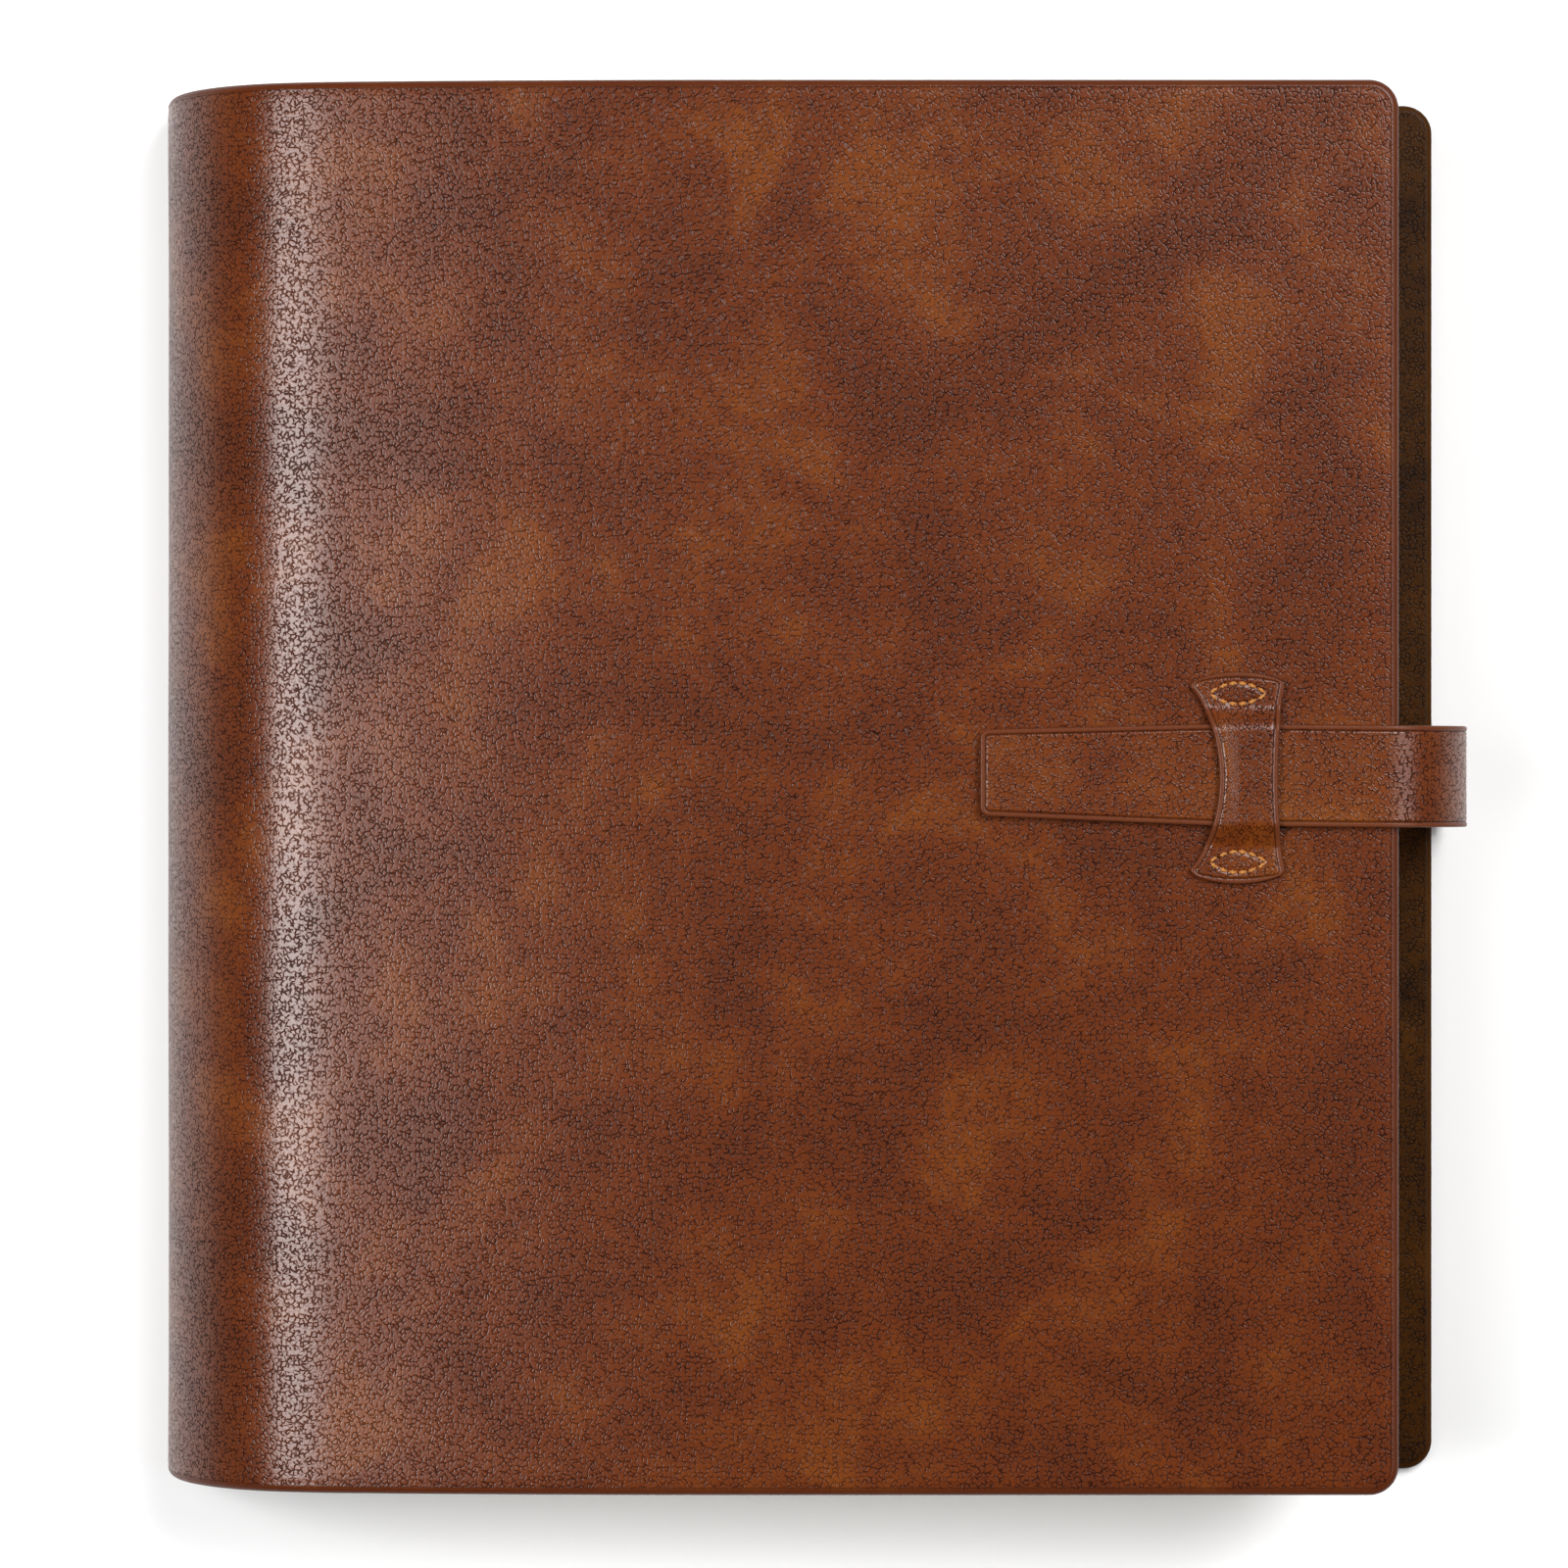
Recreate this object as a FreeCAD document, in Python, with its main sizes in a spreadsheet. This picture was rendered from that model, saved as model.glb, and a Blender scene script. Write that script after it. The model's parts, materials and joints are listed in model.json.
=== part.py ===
import FreeCAD, Part
import Sketcher
import math
import os

# Ring album in soft leather, closed by a strap that passes under a sewn keeper.
# The album lies on its back cover.  X runs from the spine to the fore edge, Y from
# tail to head, Z up through the front cover.  The origin is on the floor, under the
# middle of the closed album.  All lengths are millimetres.

os.makedirs("parts", exist_ok=True)
doc = FreeCAD.newDocument("ring_album")
V = FreeCAD.Vector
EAST, NORTH, UP = V(1, 0, 0), V(0, 1, 0), V(0, 0, 1)

# ---------------------------------------------------------------- driving sizes

SIZES = [
    ("album_height", 298.0, "head to tail"),
    ("album_thick", 52.0, "floor to the top of the front cover"),
    ("front_reach", 263.4, "spine to the fore edge of the front cover"),
    ("back_step", 12.2, "how far the back cover stands out past the front cover"),
    ("leather_thick", 1.2, "outer leather"),
    ("board_thick", 1.4, "stiff core of each cover"),
    ("lining_thick", 0.8, "inner lining of each cover"),
    ("turn_in", 3.0, "leather turned over the edge of the board"),
    ("corner_radius", 6.2, "corners at the fore edge"),
    ("foot_radius", 5.5, "spine where it leaves the back cover"),
    ("wall_sweep", 16.0, "degrees turned by the upright part of the spine"),
    ("shoulder_radius", 36.0, "round shoulder of the spine"),
    ("shoulder_sweep", 59.0, "degrees turned by the shoulder"),
    ("crown_radius", 75.0, "spine above the shoulder"),
    ("crown_sweep", 10.0, "degrees turned by the crown"),
    ("brow_radius", 964.0, "slow bend into the flat of the front cover"),
    ("crease_gap", 0.12, "air between one strip of the spine and the next"),
    ("strap_thick", 1.4, "strap leather"),
    ("strap_wide", 21.4, "strap where it crosses the fore edge"),
    ("strap_end_wide", 17.8, "strap at its free end"),
    ("strap_taper", 30.0, "length over which the strap narrows"),
    ("strap_off", 2.3, "strap above the middle of the album"),
    ("strap_stand_off", 3.2, "strap centre line outside the back cover's edge"),
    ("strap_foot_radius", 3.0, "strap bend at the back cover"),
    ("strap_loop_radius", 19.0, "strap bend at the front cover"),
    ("strap_reach", 84.6, "flat length of the tongue on the front cover"),
    ("strap_gap", 0.6, "air under the tongue"),
    ("tail_length", 30.0, "strap end held inside the back cover"),
    ("keeper_inset", 34.1, "fore edge of the front cover to the middle of the keeper"),
    ("keeper_sides", 11.6, "keeper past each edge of the strap"),
    ("keeper_dome", 2.0, "bulge of each end of the keeper"),
    ("keeper_skew", 1.6, "waist drawn in less on the fore edge's side"),
    ("keeper_shift", 0.3, "keeper's middle below the strap's middle"),
    ("keeper_clear", 1.2, "level bridge past each edge of the strap"),
    ("keeper_ramp", 2.2, "run of the slope from a foot to the bridge"),
    ("keeper_air", 0.25, "air between the strap and the bridge"),
    ("stitch_inset", 4.6, "eye of stitches in from the keeper's end"),
    ("keeper_wide", 19.8, "keeper at its feet"),
    ("keeper_waist", 12.3, "keeper where it crosses the strap"),
    ("keeper_thick", 1.4, "keeper leather"),
    ("thread_thick", 0.6, "sewing thread"),
    ("eye_long", 12.4, "row of stitches in each keeper foot"),
    ("eye_tall", 4.4, "width of that row at its middle"),
    ("eye_stitches", 6, "stitches in each side of the eye"),
    ("ring_wire", 3.0, "wire of the rings"),
    ("ring_spacing", 108.0, "from one ring to the next"),
    ("ring_inset", 40.0, "spine to the middle of the rings"),
    ("ring_headroom", 1.9, "air over the closed rings"),
    ("plate_thick", 0.9, "sprung cover plate of the mechanism"),
    ("plate_rise", 6.0, "top of the cover plate over the lining"),
    ("plate_radius", 16.9, "arch of the cover plate"),
    ("plate_margin", 10.0, "end of the cover plate to the edge of the cover"),
    ("blade_thick", 1.0, "blades that carry the rings"),
    ("blade_wide", 9.65, "each blade"),
    ("blade_lift", 0.5, "air under the blades"),
    ("ring_sink", 1.9, "bottom of the rings under the top of the plate"),
    ("stem_out", 6.0, "ring stems from the middle of the plate"),
    ("ring_joint_gap", 0.3, "degrees of air where two half rings meet"),
    ("blade_short", 6.0, "end of the blades inside the end of the plate"),
    ("blade_gap", 0.15, "each blade from the middle of the plate"),
    ("pin_radius", 0.8, "lever pins"),
    ("pin_inset", 2.0, "lever pins inside the end of the plate"),
    ("pin_lift", 3.4, "lever pins over the lining"),
    ("lever_thick", 1.2, "sheet that the levers are bent from"),
    ("lever_half", 3.0, "half of a lever's width under the plate"),
    ("tab_half", 5.0, "half of a lever's thumb tab"),
    ("tab_high", 8.2, "thumb tab"),
    ("rivet_share", 0.8, "rivets out from the middle, share of the ring spacing"),
    ("slot_room", 0.5, "slot past the ring wire on each side"),
    ("slot_long", 5.6, "slot in the plate over each ring stem"),
    ("slot_out", 3.6, "slot past the stem on the spine's side"),
    ("slot_in", 2.0, "slot before the stem on the other side"),
    ("rivet_radius", 1.6, "mounting rivets"),
    ("leaf_plate_gap", 1.9, "air between the plate and the lowest leaf"),
    ("leaf_floor_gap", 0.5, "air between the lining and the lowest leaf"),
    ("leaf_headroom", 7.0, "air over the top leaf"),
    ("leaf_ring_share", 0.53, "how far up the rings' upper half the leaves reach"),
    ("leaf_level", 12.0, "level stretch of a leaf past its holes"),
    ("leaf_slope", 45.0, "sloping stretch of a leaf"),
    ("hole_play", 1.05, "hole centre outside the ring wire's centre"),
    ("leaf_thick", 0.9, "album leaf"),
    ("leaf_gap", 0.05, "air between leaves at the rings"),
    ("leaf_wide", 206.0, "album leaf"),
    ("leaf_high", 280.0, "album leaf"),
    ("hole_share", 17 / 12, "radius of a punched hole, in thicknesses of the ring wire"),
    ("hole_inset", 9.0, "inner edge of a leaf to its holes"),
    ("turning_leaves", 3, "leaves that turn over with the cover"),
]

sheet = doc.addObject("Spreadsheet::Sheet", "Sizes")
for row, (alias, value, meaning) in enumerate(SIZES, start=1):
    sheet.set(f"A{row}", str(value))
    sheet.set(f"B{row}", meaning)
    sheet.setAlias(f"A{row}", alias)
doc.recompute()


def size(alias):
    """The value in the sheet's cell with this alias."""
    return float(sheet.get(alias))


# ------------------------------------------------- places worked out from the sizes

COVER = size("leather_thick") + size("board_thick") + size("lining_thick")
BACK_REACH = size("front_reach") + size("back_step")
STRAP_OUT = size("strap_stand_off") + size("strap_thick") / 2
SPINE_X = -(BACK_REACH + STRAP_OUT) / 2
FRONT_EDGE_X = SPINE_X + size("front_reach")
BACK_EDGE_X = SPINE_X + BACK_REACH
HALF = size("album_height") / 2
TOP = size("album_thick")


def turn(angle):
    """Unit vector from an arc's centre to the spine's outside, angle degrees past level."""
    return V(-math.cos(math.radians(angle)), 0, math.sin(math.radians(angle)))


# The outside of the spine is a chain of tangent arcs: foot, wall, shoulder, crown, brow.
LEVEL = 90.0
FOOT_START = -90.0
SHOULDER_START = size("wall_sweep")
SHOULDER_MIDDLE = SHOULDER_START + size("shoulder_sweep") / 2
CROWN_START = SHOULDER_START + size("shoulder_sweep")
BROW_START = CROWN_START + size("crown_sweep")


def rise(radius, start, end):
    """Height gained along an arc of the spine."""
    return radius * (turn(end).z - turn(start).z)


SHOULDER_RADIUS = size("shoulder_radius")
CROWN_RADIUS = size("crown_radius")
SHOULDER_RISE = rise(SHOULDER_RADIUS, SHOULDER_START, CROWN_START)
CROWN_RISE = rise(CROWN_RADIUS, CROWN_START, BROW_START)
BROW_RISE = rise(size("brow_radius"), BROW_START, LEVEL)
WALL_RISE = TOP - size("foot_radius") - SHOULDER_RISE - CROWN_RISE - BROW_RISE
WALL_RADIUS = WALL_RISE / turn(SHOULDER_START).z

FOOT_C = V(SPINE_X + size("foot_radius"), 0, size("foot_radius"))
WALL_C = V(SPINE_X + WALL_RADIUS, 0, size("foot_radius"))
SHOULDER_C = WALL_C + turn(SHOULDER_START) * (WALL_RADIUS - SHOULDER_RADIUS)
CROWN_C = SHOULDER_C + turn(CROWN_START) * (SHOULDER_RADIUS - CROWN_RADIUS)
BROW_C = CROWN_C + turn(BROW_START) * (CROWN_RADIUS - size("brow_radius"))
BROW_END_X = BROW_C.x

# Ring mechanism: everything is placed from the plate's foot and the middle of the rings.
RING_X = SPINE_X + size("ring_inset")
PLATE_TOP = COVER + size("plate_rise")
PLATE_C = V(RING_X, 0, PLATE_TOP - size("plate_radius"))
PLATE_HALF = HALF - size("plate_margin")
CEILING = TOP - BROW_RISE - COVER
RING_BOTTOM = PLATE_TOP - size("ring_sink")
RING_R = (CEILING - size("ring_headroom") - size("ring_wire") / 2 - RING_BOTTOM) / 2
RING_C = V(RING_X, 0, RING_BOTTOM + RING_R)
RING_YS = [-size("ring_spacing"), 0.0, size("ring_spacing")]
STEM_OUT = size("stem_out")
STEM_ANGLE = math.degrees(math.asin(STEM_OUT / RING_R))
STEM_TOP = RING_C.z - RING_R * math.cos(math.radians(STEM_ANGLE))
BLADE_Z = COVER + size("blade_lift")
BLADE_TOP = BLADE_Z + size("blade_thick")
BLADE_HALF = PLATE_HALF - size("blade_short")
LEVER_Y = PLATE_HALF - size("pin_inset")
LEVER_Z = COVER + size("pin_lift")

# Leaves: a flat zone at the rings, a slope, then a flat zone out to the fore edge.
LEAF_FIRST_Z = PLATE_TOP + size("leaf_plate_gap")
LEAF_ROOM = RING_C.z + size("leaf_ring_share") * RING_R - LEAF_FIRST_Z
LEAF_PITCH = size("leaf_thick") + size("leaf_gap")
LEAF_COUNT = int(LEAF_ROOM / LEAF_PITCH)
HOLE_RADIUS = size("ring_wire") * size("hole_share")
LEAF_LOW = COVER + size("leaf_floor_gap")
FORE_ROOM = TOP - COVER - size("leaf_headroom") - LEAF_LOW
FORE_PITCH = FORE_ROOM / LEAF_COUNT

sub_parts = []


def keep(obj, label):
    """Give a finished sub-part its label and list it for export."""
    obj.Label = label
    sub_parts.append(obj)
    return obj


# ------------------------------------------------------------------ small helpers

def plane(body, role):
    return next(item for item in body.Origin.OriginFeatures if item.Role == role)


def rectangle_sketch(body, name, role, low, high):
    """A rectangle from low to high, each an (x, y) pair of expressions, fully constrained."""
    sketch = body.newObject("Sketcher::SketchObject", name)
    sketch.AttachmentSupport = [(plane(body, role), "")]
    sketch.MapMode = "FlatFace"
    corners = [V(-1, -1, 0), V(1, -1, 0), V(1, 1, 0), V(-1, 1, 0)]
    for index in range(4):
        sketch.addGeometry(Part.LineSegment(corners[index], corners[(index + 1) % 4]))
    for index in range(4):
        sketch.addConstraint(Sketcher.Constraint("Coincident", index, 2, (index + 1) % 4, 1))
        kind = "Horizontal" if index % 2 == 0 else "Vertical"
        sketch.addConstraint(Sketcher.Constraint(kind, index))
    for line, end, pair in ((0, 1, low), (2, 1, high)):
        for kind, text in zip(("DistanceX", "DistanceY"), pair):
            number = sketch.addConstraint(Sketcher.Constraint(kind, -1, 1, line, end, 1.0))
            sketch.setExpression(f"Constraints[{number}]", text)
    return sketch


def slab(label, low, high, length, z):
    """A flat plate as a Body: a rectangle on XY padded upwards by an expression."""
    body = doc.addObject("PartDesign::Body", label)
    sketch = rectangle_sketch(body, label + "_outline", "XY_Plane", low, high)
    pad = body.newObject("PartDesign::Pad", label + "_pad")
    pad.Profile = sketch
    pad.setExpression("Length", length)
    body.Placement.Base = V(0, 0, z)
    doc.recompute()
    return body


def round_upright_corners(body, last, radius, edge_x):
    """Fillet the upright edges that stand at the fore edge."""
    names = []
    for number, edge in enumerate(last.Shape.Edges, start=1):
        box = edge.BoundBox
        upright = box.ZLength > 0.1 and box.XLength < 0.01 and box.YLength < 0.01
        if upright and abs(box.XMin - edge_x) < 0.01:
            names.append(f"Edge{number}")
    fillet = body.newObject("PartDesign::Fillet", body.Label + "_corners")
    fillet.Base = (last, names)
    fillet.setExpression("Radius", radius)
    doc.recompute()
    return fillet


def cut(base, *tools):
    """Base minus each tool, as Cut features of the document."""
    for tool in tools:
        feature = doc.addObject("Part::Cut", "trimmed")
        feature.Base = base
        feature.Tool = tool
        base = feature
    return base


def fuse(*pieces):
    feature = doc.addObject("Part::MultiFuse", "joined")
    feature.Shapes = list(pieces)
    feature.Refine = True
    return feature


def box(low, high):
    """A block between two corners."""
    feature = doc.addObject("Part::Box", "block")
    feature.Length = high.x - low.x
    feature.Width = high.y - low.y
    feature.Height = high.z - low.z
    feature.Placement.Base = low
    return feature


def rod(start, end, radius):
    """A round rod whose radius is an expression."""
    feature = doc.addObject("Part::Cylinder", "rod")
    feature.setExpression("Radius", radius)
    feature.Height = (end - start).Length
    feature.Placement = FreeCAD.Placement(start, FreeCAD.Rotation(UP, end - start))
    return feature


def group(*pieces):
    feature = doc.addObject("Part::Compound", "set_of_pieces")
    feature.Links = list(pieces)
    return feature


def band(centre, outer, inner, start, end, height="Sizes.album_height"):
    """Strip of an arched wall between two radii, standing along Y.

    start and end are degrees past level on the spine's side; radii and height are
    expressions."""
    solids = []
    for name, radius in (("outside", outer), ("inside", inner)):
        wall = doc.addObject("Part::Cylinder", name)
        wall.setExpression("Radius", radius)
        wall.setExpression("Height", height)
        wall.Angle = end - start
        # the cylinder starts at local +X; its axis is laid along +Y and turned to start
        lay = FreeCAD.Rotation(EAST, -90)
        spin = FreeCAD.Rotation(NORTH, 180 + start)
        wall.Placement = FreeCAD.Placement(centre - V(0, 1, 0) * HALF, spin * lay)
        solids.append(wall)
    return cut(*solids)


def solid_along_y(edges, half, centre_y=0.0):
    """Extrude a closed XZ outline, given as its edges in order, along Y."""
    face = Part.Face(Part.Wire(edges))
    face.translate(V(0, centre_y - half, 0))
    return face.extrude(V(0, 2 * half, 0))


def feature_from(shape, name):
    feature = doc.addObject("Part::Feature", name)
    feature.Shape = shape
    return feature


def line(a, b):
    return Part.LineSegment(a, b).toShape()


def arc(a, middle, b):
    return Part.Arc(a, middle, b).toShape()


# ---------------------------------------------------------------------- covers

def cover_slab(label, x_low, x_high, y_half, thick, z, corner=None):
    """A flat layer of a cover between two x places."""
    body = slab(label, (f"{x_low:.4f}", f"-({y_half})"), (f"{x_high:.4f}", y_half), thick, z)
    if corner:
        round_upright_corners(body, body.Tip, corner, x_high)
    return body


BOARD_HALF = "Sizes.album_height / 2 - Sizes.turn_in"
BOARD_CORNER = "Sizes.corner_radius - Sizes.turn_in"
RIVET_HOLE = "Sizes.rivet_radius + 0.05"
BOARD_Z = size("leather_thick")
LINING_Z = BOARD_Z + size("board_thick")
STRAP_Y = size("strap_off")


def strap_slot(x_low, x_high, z):
    """Room for the strap's tail inside the back cover."""
    half = size("strap_wide") / 2 + 0.1
    low = V(x_low, STRAP_Y - half, z)
    return box(low, V(x_high, STRAP_Y + half, z + size("strap_thick")))


def back_cover():
    """Leather with turned edges, board and lining of the back cover."""
    flat_from = SPINE_X + size("foot_radius")
    rim_x = BACK_EDGE_X - size("turn_in")
    full = "Sizes.leather_thick + Sizes.board_thick + Sizes.lining_thick"
    skin = cover_slab("back_skin", flat_from, BACK_EDGE_X, "Sizes.album_height / 2", full, 0,
                      "Sizes.corner_radius")
    well = cover_slab("back_well", flat_from - 1, rim_x, BOARD_HALF, full, BOARD_Z,
                      BOARD_CORNER)
    foot = band(FOOT_C, "Sizes.foot_radius", "Sizes.foot_radius - Sizes.leather_thick",
                FOOT_START, FOOT_START / 2)
    tail_x = BACK_EDGE_X - size("tail_length")
    slot = strap_slot(tail_x, BACK_EDGE_X + 1, BOARD_Z)
    keep(cut(fuse(cut(skin, well), foot), slot), "back_leather")
    board = cover_slab("back_core", flat_from, rim_x, BOARD_HALF, "Sizes.board_thick",
                       BOARD_Z, BOARD_CORNER)
    slot = strap_slot(tail_x, BACK_EDGE_X + 1, BOARD_Z)
    rivet_holes = [rod(V(RING_X, y, 0), V(RING_X, y, COVER), RIVET_HOLE) for y in rivet_places()]
    keep(cut(board, slot, *rivet_holes), "back_board")
    lining = cover_slab("back_liner", flat_from, rim_x, BOARD_HALF, "Sizes.lining_thick",
                        LINING_Z, BOARD_CORNER)
    rivet_holes = [rod(V(RING_X, y, 0), V(RING_X, y, COVER), RIVET_HOLE) for y in rivet_places()]
    keep(cut(lining, *rivet_holes), "back_lining")


def front_cover():
    """Leather with turned edges, board and lining of the front cover, brow included."""
    rim_x = FRONT_EDGE_X - size("turn_in")
    full = "Sizes.leather_thick + Sizes.board_thick + Sizes.lining_thick"
    skin = cover_slab("front_skin", BROW_END_X, FRONT_EDGE_X, "Sizes.album_height / 2", full,
                      TOP - COVER, "Sizes.corner_radius")
    well = cover_slab("front_well", BROW_END_X - 1, rim_x, BOARD_HALF, full,
                      TOP - COVER - size("leather_thick"), BOARD_CORNER)
    brow = band(BROW_C, "Sizes.brow_radius", "Sizes.brow_radius - Sizes.leather_thick",
                BROW_START, LEVEL)
    keep(fuse(cut(skin, well), brow), "front_leather")
    for label, depth, thick in (("front_board", 0, "board_thick"),
                                ("front_lining", size("board_thick"), "lining_thick")):
        outer = size("brow_radius") - size("leather_thick") - depth
        flat = cover_slab(label + "_flat", BROW_END_X, rim_x, BOARD_HALF, f"Sizes.{thick}",
                          TOP - size("leather_thick") - depth - size(thick), BOARD_CORNER)
        bent = band(BROW_C, f"{outer:.4f}", f"{outer:.4f} - Sizes.{thick}", BROW_START, LEVEL)
        end = box(V(SPINE_X, -HALF - 1, 0), V(BROW_END_X + 1, -HALF + size("turn_in"), TOP))
        other = box(V(SPINE_X, HALF - size("turn_in"), 0), V(BROW_END_X + 1, HALF + 1, TOP))
        keep(fuse(flat, cut(bent, end, other)), label)


def spine_strip(label, centre, radius, start, end, foot=False):
    """Leather and lining of one strip of the spine, set a crease apart from the next."""
    crease = math.degrees(size("crease_gap") / radius)
    outer = f"{radius:.4f}"
    middle = f"({outer} - Sizes.leather_thick)"
    inner = f"({outer} - Sizes.leather_thick - Sizes.board_thick - Sizes.lining_thick)"
    if foot:
        crease = 0.0
    leather = band(centre, outer, middle, start + crease, end)
    lining = band(centre, middle, inner, start + crease, end)
    if foot:
        gap = math.degrees(size("crease_gap") / size("foot_radius"))
        for_leather = band(FOOT_C, "Sizes.foot_radius", "Sizes.foot_radius - Sizes.leather_thick",
                           FOOT_START / 2 + gap, 0)
        for_lining = band(FOOT_C, "Sizes.foot_radius - Sizes.leather_thick",
                          "Sizes.foot_radius - Sizes.leather_thick - Sizes.board_thick"
                          " - Sizes.lining_thick", FOOT_START / 2 + gap, 0)
        leather = fuse(leather, for_leather)
        lining = fuse(lining, for_lining)
    keep(leather, label + "_leather")
    keep(lining, label + "_lining")


def spine():
    crown_crease = math.degrees(size("crease_gap") / CROWN_RADIUS)
    spine_strip("spine_wall", WALL_C, WALL_RADIUS, 0.0, SHOULDER_START, foot=True)
    spine_strip("shoulder_1", SHOULDER_C, SHOULDER_RADIUS, SHOULDER_START, SHOULDER_MIDDLE)
    spine_strip("shoulder_2", SHOULDER_C, SHOULDER_RADIUS, SHOULDER_MIDDLE, CROWN_START)
    spine_strip("shoulder_3", CROWN_C, CROWN_RADIUS, CROWN_START, BROW_START - crown_crease)


# ------------------------------------------------------------- strap and keeper

STRAP_MID_X = BACK_EDGE_X + size("strap_stand_off")
STRAP_LOW_Z = BOARD_Z + size("strap_thick") / 2
STRAP_TOP_Z = TOP + size("strap_gap") + size("strap_thick") / 2
LOOP_C = V(STRAP_MID_X - size("strap_loop_radius"), 0, STRAP_TOP_Z - size("strap_loop_radius"))
STRAP_FOOT_C = V(STRAP_MID_X - size("strap_foot_radius"), 0,
                 STRAP_LOW_Z + size("strap_foot_radius"))
STRAP_CUT = 0.1


def strap_arc(centre, radius, start, end):
    """Bent length of strap; angles are degrees from level on the fore side, as an edge."""
    half = size("strap_thick") / 2

    def spoke(angle, reach):
        direction = V(math.cos(math.radians(angle)), 0, math.sin(math.radians(angle)))
        return centre + direction * reach

    middle = (start + end) / 2
    outer, inner = radius + half, radius - half
    edges = [arc(spoke(start, outer), spoke(middle, outer), spoke(end, outer)),
             line(spoke(end, outer), spoke(end, inner)),
             arc(spoke(end, inner), spoke(middle, inner), spoke(start, inner)),
             line(spoke(start, inner), spoke(start, outer))]
    return solid_along_y(edges, size("strap_wide") / 2, STRAP_Y)


def strap():
    """Tail in the back cover, riser, two halves of the loop and the tongue."""
    half_wide = size("strap_wide") / 2
    half_thick = size("strap_thick") / 2
    tail = box(V(BACK_EDGE_X - size("tail_length"), STRAP_Y - half_wide, BOARD_Z),
               V(STRAP_FOOT_C.x - STRAP_CUT, STRAP_Y + half_wide, BOARD_Z + 2 * half_thick))
    keep(tail, "strap_tail")
    bend = strap_arc(STRAP_FOOT_C, size("strap_foot_radius"), -90, 0)
    straight = Part.makeBox(2 * half_thick, 2 * half_wide, LOOP_C.z - STRAP_FOOT_C.z,
                            V(STRAP_MID_X - half_thick, STRAP_Y - half_wide, STRAP_FOOT_C.z))
    keep(feature_from(bend.fuse(straight).removeSplitter(), "riser"), "strap_riser")
    loop = size("strap_loop_radius")
    nick = math.degrees(STRAP_CUT / loop)
    keep(feature_from(strap_arc(LOOP_C, loop, nick, 45), "bend"), "strap_bend_lower")
    keep(feature_from(strap_arc(LOOP_C, loop, 45 + nick, 90), "bend"), "strap_bend_upper")
    tip_x = LOOP_C.x - size("strap_reach")
    shoulder_x = tip_x + size("strap_taper")
    end_half = size("strap_end_wide") / 2
    z = STRAP_TOP_Z - half_thick
    corners = [V(LOOP_C.x - STRAP_CUT, STRAP_Y - half_wide, z),
               V(LOOP_C.x - STRAP_CUT, STRAP_Y + half_wide, z),
               V(shoulder_x, STRAP_Y + half_wide, z), V(tip_x, STRAP_Y + end_half, z),
               V(tip_x, STRAP_Y - end_half, z), V(shoulder_x, STRAP_Y - half_wide, z)]
    outline = Part.Face(Part.makePolygon(corners + corners[:1]))
    keep(feature_from(outline.extrude(UP * size("strap_thick")), "tongue"), "strap_tongue")


KEEPER_C = V(FRONT_EDGE_X - size("keeper_inset"), STRAP_Y - size("keeper_shift"), TOP)
KEEPER_HALF = size("strap_wide") / 2 + size("keeper_sides")
EYE_Y = KEEPER_HALF - size("stitch_inset")


def keeper_outline():
    """Dog-bone outline: two wide feet with domed ends and a waist drawn in by arcs."""
    half_high = KEEPER_HALF
    half_wide = size("keeper_wide") / 2
    half_waist = size("keeper_waist") / 2
    shoulder = half_high - size("keeper_dome")
    c = KEEPER_C
    right_waist = half_waist + size("keeper_skew")

    def at(x, y):
        return V(c.x + x, c.y + y, c.z)

    edges = [arc(at(-half_wide, -shoulder), at(0, -half_high), at(half_wide, -shoulder)),
             arc(at(half_wide, -shoulder), at(right_waist, 0), at(half_wide, shoulder)),
             arc(at(half_wide, shoulder), at(0, half_high), at(-half_wide, shoulder)),
             arc(at(-half_wide, shoulder), at(-half_waist, 0), at(-half_wide, -shoulder))]
    return Part.Face(Part.Wire(edges))


def keeper():
    """Leather loop whose feet lie on the cover and whose waist arches over the strap."""
    thick = size("keeper_thick")
    half = KEEPER_HALF + 1
    clear = size("strap_wide") / 2 + size("keeper_clear")
    rise_by = size("strap_gap") + size("strap_thick") + size("keeper_air")
    ramp = size("keeper_ramp")
    y, z = KEEPER_C.y, TOP
    under = [V(0, y - half, z), V(0, y - clear - ramp, z), V(0, y - clear, z + rise_by),
             V(0, y + clear, z + rise_by), V(0, y + clear + ramp, z), V(0, y + half, z)]
    over = [point + UP * thick for point in reversed(under)]
    profile = Part.Face(Part.makePolygon(under + over + under[:1]))
    reach = size("keeper_wide")
    profile.translate(V(KEEPER_C.x - reach, 0, 0))
    arch = profile.extrude(V(2 * reach, 0, 0))
    outline = keeper_outline().extrude(UP * (rise_by + thick + 1))
    keep(feature_from(arch.common(outline), "loop"), "keeper")


def eye_stitches(label, side):
    """Stitches along the two arcs of an eye, lying on a keeper foot."""
    count = int(size("eye_stitches"))
    half_long = size("eye_long") / 2
    bulge = size("eye_tall") / 2
    radius = size("thread_thick") / 2
    z = TOP + size("keeper_thick") + radius
    stitches = []
    for edge in (-1, 1):
        for index in range(count):
            ends = []
            for step in (index + 0.14, index + 0.86):
                x = half_long * (2 * step / count - 1)
                y = edge * bulge * (1 - (x / half_long) ** 2)
                ends.append(KEEPER_C + V(x, side * EYE_Y + y, 0))
            for end in ends:
                end.z = z
            stitches.append(rod(ends[0], ends[1], "Sizes.thread_thick / 2"))
    keep(group(*stitches), label)


# -------------------------------------------------------------- ring mechanism

def rivet_places():
    reach = size("ring_spacing") * size("rivet_share")
    return [-reach, reach]


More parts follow.
